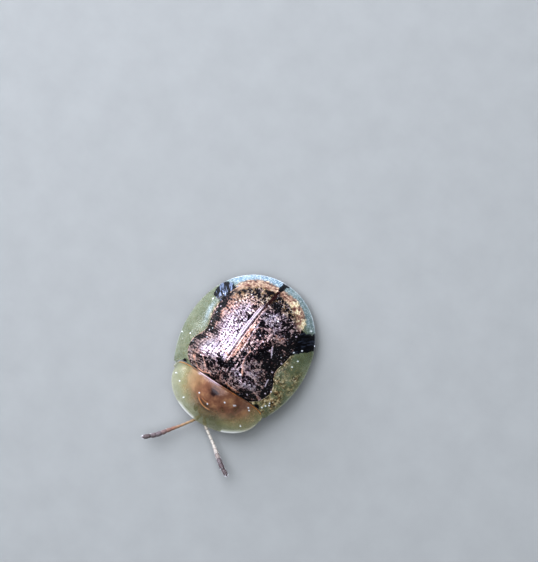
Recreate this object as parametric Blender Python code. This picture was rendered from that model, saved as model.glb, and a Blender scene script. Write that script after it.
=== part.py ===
"""A tortoise beetle at life size, standing still with its feelers stretched out ahead.

The beetle faces -Y, its left is +X and it stands on the plane z = 0. Sizes are in millimetres, and
add_node turns them to metres. A place is given by x, by u, the distance ahead of the rear tip of the
shell, and by z. One function gives the height of the shell over the body, and the plates, their
undersides and the body beneath them all read it, so that they nest with an even gap.
"""

import math

import bmesh
import bpy
from mathutils import Matrix, Vector

MM = 0.001
GAP = 0.2  # between a part and the part that it grows from

# The shell seen from above
SHELL_LENGTH = 7.5
HALF_WIDTH = 3.06
WIDEST_U = 3.5
REAR_POWER = 2.1  # 2 is an ellipse, and more is fuller
FRONT_REACH = 3.84  # the front half of the wing cases' ellipse, were it whole
SHOULDER_U = 5.6  # the front outer corner of a wing case
PRONOTUM_HALF_WIDTH = 2.37
PRONOTUM_WIDEST_U = 5.95
PRONOTUM_REACH = SHELL_LENGTH - PRONOTUM_WIDEST_U
PRONOTUM_BACK = 0.5
PRONOTUM_BACK_POWER = 5.0
SCUTELLUM_HALF_WIDTH = 0.3
SCUTELLUM_TIP_U = 4.9
NOTCH_HALF_WIDTH = 0.55
NOTCH_TIP_U = 4.55

# The shell seen from the side
RIM_REAR_Z = 0.55
RIM_FRONT_Z = 0.95
PLATE = 0.4  # thickness of a plate
PLATE_INSET = 0.22  # how much narrower the dome is on a plate's underside
EDGE_ROUND = 0.2
EDGE_KEPT = 0.3  # share of the thickness left at the very edge
MARGIN_RISE = 0.55
MARGIN_POWER = 3.0
BOSS_U = 4.2  # the high point of the back
DISC_RISE = 1.78
DISC_POWER = 2.3
FOOT_SOFTNESS = 0.12  # rounds the foot of the dome into the margin
PRONOTUM_MARGIN_RISE = 0.35
PRONOTUM_DOME_U = 5.35
PRONOTUM_DOME_HALF_WIDTH = 1.75
PRONOTUM_DOME_REACH = 1.8
PRONOTUM_DOME_RISE = 1.02

# The edge of the raised disc, from the rear round the left side to the front. The wing case ends
# before the last two places, which set how fast the boss falls away ahead.
DISC_EDGE = (
    (0.0, 0.5),
    (0.95, 0.6),
    (1.7, 1.2),
    (2.06, 2.55),
    (1.88, 3.65),
    (2.2, 4.55),
    (1.9, 5.2),
    (1.15, 5.6),
    (0.0, 5.72),
)

# Swellings and hollows of each wing case: x, u, height, spread
SWELLINGS = (
    (0.0, 4.25, 0.12, 0.5),
    (1.4, 4.7, 0.24, 0.45),
    (1.45, 3.75, -0.16, 0.4),
    (0.6, 3.3, -0.09, 0.35),
    (1.2, 2.5, 0.13, 0.5),
    (0.75, 1.75, -0.06, 0.4),
)

# The body under the shell
BELLY_Z = 1.05
BELLY_CURVE = 0.12
BODY_HALF_WIDTH = 1.5
THORAX_U = (3.3, 5.22)
ABDOMEN_U = (1.3, 3.1)
PROTHORAX_U = (5.45, 6.3)
PROTHORAX_HALF_WIDTH = 1.1
BODY_TOP_DROP = PLATE + GAP
BODY_TOP_INSET = PLATE_INSET + 0.18
RING_STEP = 0.05  # how far each ring of the abdomen stands off the one behind it
ABDOMEN_RINGS = 5

# The head under the front of the shell
HEAD_U = 6.85
HEAD_Z = 0.66
HEAD_HALF = (0.5, 0.36, 0.3)
EYE_AT = (0.56, 6.9, 0.68)
EYE_HALF = (0.24, 0.24, 0.25)
EYE_SEAT_X = 0.52
CHEEK_X = EYE_SEAT_X - 0.17

# Feelers: root, middle and tip, and the half thickness along them
FEELER_SEGMENTS = 11
FEELER_LEFT = ((0.32, 7.3, 0.5), (1.18, 8.0, 0.42), (2.36, 8.82, 0.62))
FEELER_RIGHT = ((-0.3, 7.3, 0.5), (-0.94, 8.22, 0.42), (-1.84, 9.44, 0.62))
FEELER_HALF = 0.22
FEELER_CLUB_HALF = 0.25
FEELER_TIP_HALF = 0.11
CLUB_FROM = 6  # the first of the thicker segments

# Left legs: root, knee, ankle and the end of the foot
LEG_PATHS = {
    "leg_front": ((0.32, 5.72, 0.6), (1.02, 5.78, 0.62), (1.38, 6.18, 0.3), (1.6, 6.66, 0.2)),
    "leg_middle": ((0.35, 4.55, 0.62), (1.3, 4.45, 0.62), (1.86, 4.16, 0.3), (2.4, 3.95, 0.2)),
    "leg_hind": ((0.35, 3.45, 0.62), (1.32, 3.12, 0.62), (1.72, 2.46, 0.3), (2.08, 1.86, 0.2)),
}
# How far along the upper and the lower leg, and the half thickness there
FEMUR_SHAPE = ((0.0, 0.24), (0.12, 0.26), (0.24, 0.23), (0.5, 0.27), (0.8, 0.26), (1.0, 0.24))
TIBIA_SHAPE = ((0.3, 0.23), (0.6, 0.24), (0.9, 0.25))
FOOT_HALF_WIDTHS = (0.2, 0.24, 0.27, 0.15)
FOOT_HEIGHT = 0.36
CLAW_LENGTH = 0.22
CLAW_HALF = 0.06

FOREMOST_U = 9.5
REAR_Y = FOREMOST_U / 2  # centres the whole beetle on the origin


def clamp(value, low, high):
    return max(low, min(high, value))


def place(x, u, z):
    return Vector((x, REAR_Y - u, z))


def disc_spokes():
    """The disc's edge seen from the boss, as angles from the rear and distances."""
    spokes = []
    for x, u in DISC_EDGE:
        spokes.append((math.atan2(x, BOSS_U - u), math.hypot(x, BOSS_U - u)))
    before = (-spokes[1][0], spokes[1][1])
    after = (2 * math.pi - spokes[-2][0], spokes[-2][1])
    return [before] + spokes + [after]


DISC_SPOKES = disc_spokes()


def disc_reach(angle):
    """Distance from the boss to the edge of the disc, on a smooth curve through its places."""
    for index in range(1, len(DISC_SPOKES) - 2):
        if angle <= DISC_SPOKES[index + 1][0]:
            break
    (a0, r0), (a1, r1), (a2, r2), (a3, r3) = DISC_SPOKES[index - 1 : index + 3]
    span = a2 - a1
    share = clamp((angle - a1) / span, 0.0, 1.0)
    slope1 = (r2 - r0) / (a2 - a0) * span
    slope2 = (r3 - r1) / (a3 - a1) * span
    square = share * share
    cube = square * share
    start = (2 * cube - 3 * square + 1) * r1 + (cube - 2 * square + share) * slope1
    return start + (3 * square - 2 * cube) * r2 + (cube - square) * slope2


def rim_height(u):
    return RIM_REAR_Z + (RIM_FRONT_Z - RIM_REAR_Z) * u / SHELL_LENGTH


def softened(height):
    return 0.5 * (height + math.sqrt(height * height + FOOT_SOFTNESS * FOOT_SOFTNESS))


def swellings(x, u):
    total = 0.0
    for centre_x, centre_u, height, spread in SWELLINGS:
        away = (x - centre_x) ** 2 + (u - centre_u) ** 2
        total += height * math.exp(-away / (spread * spread))
    return total


def wing_case_height(x, u, inset=0.0):
    """Height of the wing cases' upper face, or of the same dome drawn in by inset."""
    x = abs(x)
    reach = WIDEST_U if u < WIDEST_U else FRONT_REACH
    power = REAR_POWER if u < WIDEST_U else 2.0
    outward = ((x / HALF_WIDTH) ** power + (abs(u - WIDEST_U) / reach) ** power) ** (1 / power)
    margin = MARGIN_RISE * (1 - clamp(outward, 0, 1) ** MARGIN_POWER)
    share = math.hypot(x, BOSS_U - u) / (disc_reach(math.atan2(x, BOSS_U - u)) - inset)
    dome = softened(DISC_RISE * (1 - share**DISC_POWER)) if share < 1.5 else 0.0
    detail = swellings(x, u) * clamp(1.3 - share**3, 0, 1)
    return rim_height(u) + PLATE / 2 + margin + dome + detail


def pronotum_height(x, u, inset=0.0):
    """Height of the neck shield's upper face, or of the same dome drawn in by inset."""
    ahead = max(u - PRONOTUM_WIDEST_U, 0.0) / PRONOTUM_REACH
    outward = math.hypot(x / PRONOTUM_HALF_WIDTH, ahead)
    margin = PRONOTUM_MARGIN_RISE * (1 - clamp(outward, 0, 1) ** MARGIN_POWER)
    along = max(u - PRONOTUM_DOME_U, 0.0) / (PRONOTUM_DOME_REACH - inset)
    share = math.hypot(x / (PRONOTUM_DOME_HALF_WIDTH - inset), along)
    dome = softened(PRONOTUM_DOME_RISE * (1 - share * share)) if share < 1.5 else 0.0
    return rim_height(u) + PLATE / 2 + margin + dome


def pronotum_hind_u(x):
    share = clamp(abs(x) / PRONOTUM_HALF_WIDTH, 0, 1) ** PRONOTUM_BACK_POWER
    return PRONOTUM_WIDEST_U - PRONOTUM_BACK * (1 - share) ** (1 / PRONOTUM_BACK_POWER)


def wing_case_outline():
    """The left wing case's edge from the rear tip round the side, shoulder and base to the notch."""
    points = []
    first = math.asin((GAP / 2 / HALF_WIDTH) ** (REAR_POWER / 2))
    rear_steps = 20
    for step in range(rear_steps):
        angle = first + (math.pi / 2 - first) * step / rear_steps
        x = HALF_WIDTH * math.sin(angle) ** (2 / REAR_POWER)
        points.append((x, WIDEST_U - WIDEST_U * math.cos(angle) ** (2 / REAR_POWER)))
    last = math.asin((SHOULDER_U - WIDEST_U) / FRONT_REACH)
    front_steps = 8
    for step in range(front_steps + 1):
        angle = last * step / front_steps
        points.append((HALF_WIDTH * math.cos(angle), WIDEST_U + FRONT_REACH * math.sin(angle)))
    shoulder_x = points[-1][0]
    rim_count = len(points)
    base_steps = 12
    for step in range(1, base_steps + 1):
        x = shoulder_x + (NOTCH_HALF_WIDTH - shoulder_x) * step / base_steps
        points.append((x, pronotum_hind_u(x) - GAP))
    points.append(((NOTCH_HALF_WIDTH + GAP / 2) / 2, (points[-1][1] + NOTCH_TIP_U) / 2))
    points.append((GAP / 2, NOTCH_TIP_U))
    return points, rim_count


def pronotum_outline():
    """The neck shield's edge all the way round, and which of its points lie on the free rim."""
    points = []
    rim = []
    front_steps = 26
    for step in range(front_steps + 1):
        angle = math.pi * step / front_steps
        x = PRONOTUM_HALF_WIDTH * math.cos(angle)
        points.append((x, PRONOTUM_WIDEST_U + PRONOTUM_REACH * math.sin(angle)))
        rim.append(True)
    back_steps = 16
    for step in range(1, back_steps):
        angle = math.pi * step / back_steps
        x = -PRONOTUM_HALF_WIDTH * math.copysign(abs(math.cos(angle)) ** 0.5, math.cos(angle))
        points.append((x, pronotum_hind_u(x)))
        rim.append(False)
    return points, rim


def plate_surfaces(outline, on_rim, centre, shares, height):
    """Upper and lower places of a plate, one list for each spoke from its centre to its outline."""
    upper = []
    lower = []
    for (x, u), rounded in zip(outline, on_rim):
        over = []
        under = []
        length = math.hypot(x - centre[0], u - centre[1])
        for share in shares(x, u):
            at_x = centre[0] + (x - centre[0]) * share
            at_u = centre[1] + (u - centre[1]) * share
            inward = clamp((1 - share) * length / EDGE_ROUND, 0, 1)
            kept = max(math.sqrt(1 - (1 - inward) ** 2), EDGE_KEPT) if rounded else 1.0
            pinch = (1 - kept) * PLATE / 2
            over.append(place(at_x, at_u, height(at_x, at_u) - pinch))
            drawn_in = height(at_x, at_u, PLATE_INSET)
            under.append(place(at_x, at_u, drawn_in - PLATE + pinch))
        upper.append(over)
        lower.append(under)
    return upper, lower


def plate_mesh(upper, lower, centre_upper, centre_lower, closed):
    """A closed plate from its spokes, split into triangles alike on both faces."""
    spoke_count = len(upper)
    ring_count = len(upper[0])
    verts = [centre_upper, centre_lower]
    top = []
    bottom = []
    for over, under in zip(upper, lower):
        top.append([len(verts) + ring for ring in range(ring_count)])
        verts.extend(over)
        bottom.append([len(verts) + ring for ring in range(ring_count)])
        verts.extend(under)
    faces = []
    for spoke in range(spoke_count if closed else spoke_count - 1):
        following = (spoke + 1) % spoke_count
        faces.append((0, top[spoke][0], top[following][0]))
        faces.append((1, bottom[following][0], bottom[spoke][0]))
        for ring in range(ring_count - 1):
            a, b = top[spoke][ring], top[spoke][ring + 1]
            c, d = top[following][ring + 1], top[following][ring]
            faces += [(a, b, c), (a, c, d)]
            a, b = bottom[spoke][ring], bottom[spoke][ring + 1]
            c, d = bottom[following][ring + 1], bottom[following][ring]
            faces += [(c, b, a), (d, c, a)]
        faces += wall(top[spoke][-1], top[following][-1], bottom[spoke][-1], bottom[following][-1])
    if not closed:
        for spoke in (0, spoke_count - 1):
            faces += wall(0, top[spoke][0], 1, bottom[spoke][0])
            for ring in range(ring_count - 1):
                faces += wall(
                    top[spoke][ring], top[spoke][ring + 1], bottom[spoke][ring], bottom[spoke][ring + 1]
                )
    return verts, faces


def wall(top_a, top_b, bottom_a, bottom_b):
    return [(top_a, bottom_a, bottom_b), (top_a, bottom_b, top_b)]


def mesh_object(name, verts, faces):
    mesh = bpy.data.meshes.new(name)
    mesh.from_pydata([tuple(vert) for vert in verts], [], faces)
    clean = bmesh.new()
    clean.from_mesh(mesh)
    bmesh.ops.recalc_face_normals(clean, faces=clean.faces)
    clean.to_mesh(mesh)
    clean.free()
    return bpy.data.objects.new(name, mesh)


def mirrored(verts):
    return [Vector((-vert.x, vert.y, vert.z)) for vert in verts]


def loft(name, rings):
    """A closed solid through rings of places, each with as many places as the next."""
    count = len(rings[0])
    verts = [vert for ring in rings for vert in ring]
    faces = [tuple(range(count)), tuple(range(len(verts) - count, len(verts)))]
    for index in range(len(rings) - 1):
        start = index * count
        for side in range(count):
            following = (side + 1) % count
            a, b = start + side, start + following
            faces += [(a, b, b + count), (a, b + count, a + count)]
    return mesh_object(name, verts, faces)


def curve_through(points, share):
    """A place on the smooth curve through three points."""
    start, middle, end = points
    control = 2 * middle - (start + end) / 2
    return start * (1 - share) ** 2 + control * 2 * share * (1 - share) + end * share**2


def tube_rings(centres, half_wides, half_highs, sides):
    """Upright rings across a path, flat below and pressed flat where they reach the floor."""
    rings = []
    for index, centre in enumerate(centres):
        ahead = centres[min(index + 1, len(centres) - 1)] - centres[max(index - 1, 0)]
        across = ahead.cross(Vector((0, 0, 1))).normalized()
        ring = []
        for side in range(sides):
            angle = 2 * math.pi * (side + 0.5) / sides - math.pi / 2
            vert = centre + across * math.cos(angle) * half_wides[index]
            vert.z = max(vert.z + math.sin(angle) * half_highs[index], 0.0)
            ring.append(vert)
        rings.append(ring)
    return rings


def fused(name, pieces):
    """Joins closed pieces by one Boolean union and keeps its largest closed surface."""
    extra = bpy.data.collections.new(name + "_pieces")
    for piece in pieces[1:]:
        extra.objects.link(piece)
    base = pieces[0]
    bpy.context.scene.collection.objects.link(base)
    union = base.modifiers.new("union", "BOOLEAN")
    union.operation = "UNION"
    union.operand_type = "COLLECTION"
    union.collection = extra
    union.solver = "EXACT"
    depsgraph = bpy.context.evaluated_depsgraph_get()
    mesh = bpy.data.meshes.new_from_object(base.evaluated_get(depsgraph))
    for piece in pieces:
        bpy.data.objects.remove(piece)
    bpy.data.collections.remove(extra)
    keep_largest_surface(mesh)
    return bpy.data.objects.new(name, mesh)


def keep_largest_surface(mesh):
    work = bmesh.new()
    work.from_mesh(mesh)
    unseen = set(work.verts)
    surfaces = []
    while unseen:
        found = {unseen.pop()}
        waiting = list(found)
        while waiting:
            for edge in waiting.pop().link_edges:
                for vert in edge.verts:
                    if vert in unseen:
                        unseen.discard(vert)
                        found.add(vert)
                        waiting.append(vert)
        surfaces.append(found)
    surfaces.sort(key=len)
    for scrap in surfaces[:-1]:
        bmesh.ops.delete(work, geom=list(scrap), context="VERTS")
    work.to_mesh(mesh)
    work.free()


def finish_material(name, colour, roughness, metallic):
    material = bpy.data.materials.new(name)
    material.use_nodes = True
    shader = material.node_tree.nodes["Principled BSDF"]
    shader.inputs["Base Color"].default_value = (*colour, 1.0)
    shader.inputs["Roughness"].default_value = roughness
    shader.inputs["Metallic"].default_value = metallic
    material.diffuse_color = (*colour, 1.0)
    return material


def add_node(piece, colour, roughness, metallic=0.0):
    """Turns a finished piece to metres, gives it its material and puts it in the scene."""
    mesh = piece.data
    mesh.transform(Matrix.Scale(MM, 4))
    mesh.materials.clear()
    mesh.materials.append(finish_material(piece.name, colour, roughness, metallic))
    mesh.shade_smooth()
    mesh.set_sharp_from_angle(angle=math.radians(40))
    bpy.context.scene.collection.objects.link(piece)


def wing_case_shares(x, u):
    """Ring places along a spoke: evenly over the disc, then over the margin and its round edge."""
    edge = disc_reach(math.atan2(x, BOSS_U - u)) / math.hypot(x, BOSS_U - u)
    edge = min(edge, 0.82)
    shares = [edge * step / 11 for step in range(1, 12)]
    length = math.hypot(x, BOSS_U - u)
    last = 1 - EDGE_ROUND / length
    shares += [edge + (last - edge) * step / 3 for step in range(1, 4)]
    return shares + [1 - EDGE_ROUND * 0.4 / length, 1.0]


def make_wing_cases():
    outline, rim_count = wing_case_outline()
    on_rim = [index < rim_count for index in range(len(outline))]
    centre = (GAP / 2, BOSS_U)
    upper, lower = plate_surfaces(outline, on_rim, centre, wing_case_shares, wing_case_height)
    over = place(*centre, wing_case_height(*centre))
    under = place(*centre, wing_case_height(*centre, PLATE_INSET) - PLATE)
    verts, faces = plate_mesh(upper, lower, over, under, closed=False)
    add_node(mesh_object("elytron_left", verts, faces), (0.30, 0.16, 0.10), 0.35, 0.6)
    add_node(mesh_object("elytron_right", mirrored(verts), faces), (0.30, 0.16, 0.10), 0.35, 0.6)


def pronotum_shares(x, u):
    length = math.hypot(x, u - PRONOTUM_WIDEST_U)
    last = 1 - EDGE_ROUND / max(length, 3 * EDGE_ROUND)
    return [last * step / 8 for step in range(1, 9)] + [(2 + last) / 3, 1.0]


def make_pronotum():
    outline, on_rim = pronotum_outline()
    centre = (0.0, PRONOTUM_WIDEST_U)
    upper, lower = plate_surfaces(outline, on_rim, centre, pronotum_shares, pronotum_height)
    over = place(*centre, pronotum_height(*centre))
    under = place(*centre, pronotum_height(*centre, PLATE_INSET) - PLATE)
    verts, faces = plate_mesh(upper, lower, over, under, closed=True)
    add_node(mesh_object("pronotum", verts, faces), (0.48, 0.24, 0.08), 0.3)


def body_top(x, u):
    height = pronotum_height if u > PROTHORAX_U[0] - GAP else wing_case_height
    return height(x, u, BODY_TOP_INSET) - BODY_TOP_DROP


def belly(x, u, half_width):
    return BELLY_Z + BELLY_CURVE * (x / half_width) ** 2


def body_ring(u, half_width, lift=0.0):
    """One section of the body: its back follows the shell, and its belly is a shallow curve."""
    widths = (-1.0, -0.8, -0.5, -0.2, 0.2, 0.5, 0.8, 1.0)
    back = []
    under = []
    for share in widths:
        x = share * half_width
        low = belly(x, u, half_width) + lift
        under.append(place(x, u, low))
        back.append(place(x, u, max(body_top(x, u), low + GAP)))
    return under + back[::-1]


def make_thorax():
    first, last = THORAX_U
    rings = []
    for step in range(9):
        u = first + (last - first) * step / 8
        rings.append(body_ring(u, BODY_HALF_WIDTH * (0.92 + 0.08 * math.sin(math.pi * step / 8))))
    add_node(loft("thorax", rings), (0.10, 0.06, 0.04), 0.45)


def make_abdomen():
    first, last = ABDOMEN_U
    rings = []
    for band in range(ABDOMEN_RINGS):
        for share, lift in ((0.0, RING_STEP), (0.85, 0.0)):
            ahead = (band + share) / ABDOMEN_RINGS
            half_width = BODY_HALF_WIDTH * math.sqrt(1 - (0.86 * (1 - ahead)) ** 2) * 0.95
            rings.append(body_ring(first + (last - first) * ahead, half_width, lift))
    rings.append(body_ring(last, BODY_HALF_WIDTH * 0.95, RING_STEP))
    add_node(loft("abdomen", rings), (0.14, 0.08, 0.05), 0.45)


def make_prothorax():
    first, last = PROTHORAX_U
    rings = []
    for step in range(6):
        half_width = PROTHORAX_HALF_WIDTH * (1 - 0.25 * (step / 5) ** 2)
        rings.append(body_ring(first + (last - first) * step / 5, half_width))
    add_node(loft("prothorax", rings), (0.40, 0.22, 0.09), 0.4)


def make_scutellum():
    """A small raised plate on a stem that meets the thorax below it."""
    front_u = pronotum_hind_u(0.0) - GAP
    outline = (
        (-SCUTELLUM_HALF_WIDTH, front_u),
        (0.0, front_u),
        (SCUTELLUM_HALF_WIDTH, front_u),
        (SCUTELLUM_HALF_WIDTH * 0.72, (front_u * 2 + SCUTELLUM_TIP_U) / 3),
        (0.0, SCUTELLUM_TIP_U),
        (-SCUTELLUM_HALF_WIDTH * 0.72, (front_u * 2 + SCUTELLUM_TIP_U) / 3),
    )
    rings = []
    for foot in (True, False):
        ring = []
        for x, u in outline:
            z = body_top(x, u) + GAP if foot else wing_case_height(x, u) - GAP / 2
            ring.append(place(x, u, z))
        rings.append(ring)
    add_node(loft("scutellum", rings), (0.22, 0.12, 0.07), 0.4, 0.3)


def ellipsoid(name, x, u, z, halves, rings=9, sides=14):
    """A closed rounded body with flat poles along x, its halves given along x, u and z."""
    places = []
    for step in range(rings):
        angle = math.pi * (step + 0.5) / rings
        ring = []
        for side in range(sides):
            turn = 2 * math.pi * side / sides
            at_u = u + halves[1] * math.sin(angle) * math.cos(turn)
            at_z = z + halves[2] * math.sin(angle) * math.sin(turn)
            ring.append(place(x - halves[0] * math.cos(angle), at_u, at_z))
        places.append(ring)
    return loft(name, places)


def cut_flat(piece, x, keep_beyond):
    """Cuts a closed piece by the plane at x, and closes it there with a flat face."""
    work = bmesh.new()
    work.from_mesh(piece.data)
    geometry = work.verts[:] + work.edges[:] + work.faces[:]
    cut = bmesh.ops.bisect_plane(
        work,
        geom=geometry,
        plane_co=(x, 0, 0),
        plane_no=(1, 0, 0),
        clear_inner=keep_beyond,
        clear_outer=not keep_beyond,
    )
    edges = [item for item in cut["geom_cut"] if isinstance(item, bmesh.types.BMEdge)]
    bmesh.ops.holes_fill(work, edges=edges)
    bmesh.ops.recalc_face_normals(work, faces=work.faces)
    work.to_mesh(piece.data)
    work.free()
    return piece


def make_head():
    """The head, bent down under the shell, with its face plate, lip and jaws."""
    skull = ellipsoid("skull", 0.0, HEAD_U, HEAD_Z, HEAD_HALF)
    skull = cut_flat(skull, CHEEK_X, keep_beyond=False)
    skull = cut_flat(skull, -CHEEK_X, keep_beyond=True)
    face = ellipsoid("face", 0.0, HEAD_U + 0.14, HEAD_Z - 0.18, (0.26, 0.2, 0.24), 7, 10)
    lip = ellipsoid("lip", 0.0, HEAD_U + 0.1, HEAD_Z - 0.38, (0.18, 0.1, 0.12), 7, 8)
    pieces = [skull, face, lip]
    for side in (-1, 1):
        jaw = ellipsoid("jaw", side * 0.14, HEAD_U - 0.02, HEAD_Z - 0.38, (0.12, 0.12, 0.14), 7, 8)
        pieces.append(jaw)
    add_node(fused("head", pieces), (0.30, 0.16, 0.07), 0.4)


def make_eyes():
    for name, side in (("eye_left", 1), ("eye_right", -1)):
        x, u, z = EYE_AT
        eye = ellipsoid(name, side * x, u, z, EYE_HALF, rings=10, sides=14)
        eye = cut_flat(eye, side * EYE_SEAT_X, keep_beyond=side > 0)
        add_node(eye, (0.02, 0.015, 0.015), 0.15)


def make_feeler(name, side, route):
    """Eleven segments, each narrow at its root, with the last six thicker."""
    points = [place(side * abs(x), u, z) for x, u, z in route]
    centres = []
    halves = []
    for segment in range(FEELER_SEGMENTS):
        club = segment >= CLUB_FROM - 1
        full = FEELER_CLUB_HALF if club else FEELER_HALF
        for share, swell in ((0.0, 0.86), (0.3, 1.0), (0.8, 1.0)):
            centres.append(curve_through(points, (segment + share) / FEELER_SEGMENTS))
            halves.append(full * swell)
    halves[-2] = FEELER_CLUB_HALF * 0.85
    halves[-1] = FEELER_CLUB_HALF * 0.7
    centres.append(points[-1])
    halves.append(FEELER_TIP_HALF)
    feeler = loft(name, tube_rings(centres, halves, halves, sides=10))
    add_node(feeler, (0.42, 0.27, 0.16), 0.5)


def leg_pieces(name, side, path):
    """The leg as one run of rings from its root to its foot, and the two claws."""
    root, knee, ankle, tip = [place(side * x, u, z) for x, u, z in path]
    centres = []
    wides = []
    highs = []
    for start, end, shape in ((root, knee, FEMUR_SHAPE), (knee, ankle, TIBIA_SHAPE)):
        for share, half in shape:
            centres.append(start.lerp(end, share))
            wides.append(half)
            highs.append(half)
    foot_start = Vector((ankle.x, ankle.y, FOOT_HEIGHT / 2)).lerp(tip, 0.15)
    for joint, half in enumerate(FOOT_HALF_WIDTHS):
        for share, swell in ((0.08, 0.8), (0.75, 1.0)):
            centre = foot_start.lerp(tip, (joint + share) / len(FOOT_HALF_WIDTHS))
            centre.z = FOOT_HEIGHT / 2
            centres.append(centre)
            wides.append(half * swell)
            highs.append(FOOT_HEIGHT * 0.56)
    pieces = [loft(name, tube_rings(centres, wides, highs, sides=10))]
    ahead = (tip - foot_start).normalized()
    across = ahead.cross(Vector((0, 0, 1))).normalized()
    for turn in (-1, 1):
        claw_centres = []
        claw_halves = []
        for step in range(4):
            share = step / 3
            spread = across * turn * (0.04 + 0.1 * share)
            claw = centres[-1] + ahead * (CLAW_LENGTH * share) + spread
            claw.z = FOOT_HEIGHT / 2 - 0.08 * share * share
            claw_centres.append(claw)
            claw_halves.append(CLAW_HALF * (1.2 - 0.8 * share))
        pieces.append(loft("claw", tube_rings(claw_centres, claw_halves, claw_halves, sides=6)))
    return pieces


def make_legs():
    for name, path in LEG_PATHS.items():
        for word, side in (("left", 1), ("right", -1)):
            leg = fused(f"{name}_{word}", leg_pieces("leg", side, path))
            add_node(leg, (0.36, 0.20, 0.08), 0.45)


def main():
    for stale in list(bpy.data.objects):
        bpy.data.objects.remove(stale)
    make_wing_cases()
    make_pronotum()
    make_scutellum()
    make_thorax()
    make_abdomen()
    make_prothorax()
    make_head()
    make_eyes()
    make_feeler("antenna_left", 1, FEELER_LEFT)
    make_feeler("antenna_right", -1, FEELER_RIGHT)
    make_legs()


main()
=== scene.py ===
"""Looks of the tortoise beetle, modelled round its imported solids.

Pieces are modelled in millimetres, and settle() turns each finished one to metres. A place is given by
x, by u, the distance ahead of the rear tip of the shell, and by z, the height over the floor. The beetle
faces -Y and its left is +X. The shell's pieces share one height function with the solids.
"""

import math
import random

import bpy
import numpy as np
from mathutils import Matrix, Vector


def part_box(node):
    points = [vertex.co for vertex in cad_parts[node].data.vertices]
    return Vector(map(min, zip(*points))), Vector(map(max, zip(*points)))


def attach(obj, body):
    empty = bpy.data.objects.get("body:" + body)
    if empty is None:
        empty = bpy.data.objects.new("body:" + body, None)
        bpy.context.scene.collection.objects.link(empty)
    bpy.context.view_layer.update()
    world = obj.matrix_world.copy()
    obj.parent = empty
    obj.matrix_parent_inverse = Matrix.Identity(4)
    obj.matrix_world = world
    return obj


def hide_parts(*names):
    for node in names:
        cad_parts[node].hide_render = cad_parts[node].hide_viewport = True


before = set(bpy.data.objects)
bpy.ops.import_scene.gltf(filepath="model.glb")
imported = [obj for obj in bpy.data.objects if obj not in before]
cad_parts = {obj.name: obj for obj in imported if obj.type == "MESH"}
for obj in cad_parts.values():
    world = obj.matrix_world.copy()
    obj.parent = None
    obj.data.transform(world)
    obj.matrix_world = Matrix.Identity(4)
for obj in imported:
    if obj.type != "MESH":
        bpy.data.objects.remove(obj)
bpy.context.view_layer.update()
MM = 0.001


def solid_box(node):
    low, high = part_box(node)
    return low / MM, high / MM


# Driving sizes, read from the solids
REAR_Y = solid_box("elytron_left")[1].y
HALF_WIDTH = solid_box("elytron_left")[1].x
SHELL_LENGTH = REAR_Y - solid_box("pronotum")[0].y
PRONOTUM_HALF_WIDTH = solid_box("pronotum")[1].x

# The shell from above, as the solids have it
WIDEST_U = 3.5
REAR_POWER = 2.1
FRONT_REACH = 3.84
SHOULDER_U = 5.72
PRONOTUM_WIDEST_U = 5.95
PRONOTUM_REACH = SHELL_LENGTH - PRONOTUM_WIDEST_U
PRONOTUM_BACK = 0.5
PRONOTUM_BACK_POWER = 5.0

# The shell from the side, as the solids have it
RIM_REAR_Z = 0.55
RIM_FRONT_Z = 0.95
HALF_PLATE = 0.2
MARGIN_RISE = 0.55
MARGIN_POWER = 3.0
BOSS_U = 4.2
DISC_RISE = 1.78
DISC_POWER = 2.3
FOOT_SOFTNESS = 0.12
PRONOTUM_MARGIN_RISE = 0.35
PRONOTUM_DOME_U = 5.35
PRONOTUM_DOME_HALF_WIDTH = 1.75
PRONOTUM_DOME_REACH = 1.8
PRONOTUM_DOME_RISE = 1.02
DISC_EDGE = (
    (0.0, 0.5),
    (0.95, 0.6),
    (1.7, 1.2),
    (2.06, 2.55),
    (1.88, 3.65),
    (2.2, 4.55),
    (1.9, 5.2),
    (1.15, 5.6),
    (0.0, 5.72),
)
SWELLINGS = (
    (0.0, 4.25, 0.12, 0.5),
    (1.4, 4.7, 0.24, 0.45),
    (1.45, 3.75, -0.16, 0.4),
    (0.6, 3.3, -0.09, 0.35),
    (1.2, 2.5, 0.13, 0.5),
    (0.75, 1.75, -0.06, 0.4),
)

# What the solids are too coarse for
CUTICLE = 0.07  # thickness of the real plates
SEAM = 0.005  # half the joint between the wing cases
BASE_SEAM = 0.03  # joint between the wing cases and the neck shield
RIM_DROP = 0.3  # how far the thin rim lies below the solids' upper face
NOTCH_TIP_U = 4.9
NOTCH_HALF_WIDTH = 0.3
ROWS = 12  # rows of punctures on each wing case
DISC_LENGTH = 5.2  # of a row
PITS = 64  # of a row, before its unevenness repeats
PIT_STEP = 0.125
PIT_DEPTH = 0.035
PIT_RADIUS = 0.04
RUNG_STEP = 0.105  # between the cross ridges of the outer slope
RIDGE_HEIGHT = 0.05  # of a full raised line


# Functions of place

LATTICE = 128  # points each way before the random heights repeat


def smooth(low, high, value):
    share = np.clip((value - low) / (high - low), 0.0, 1.0)
    return share * share * (3 - 2 * share)


def bell(value, half, middle=0.0):
    """1 at the middle, falling off both ways within about twice the half width."""
    return np.exp(-(((value - middle) / half) ** 2))


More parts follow.
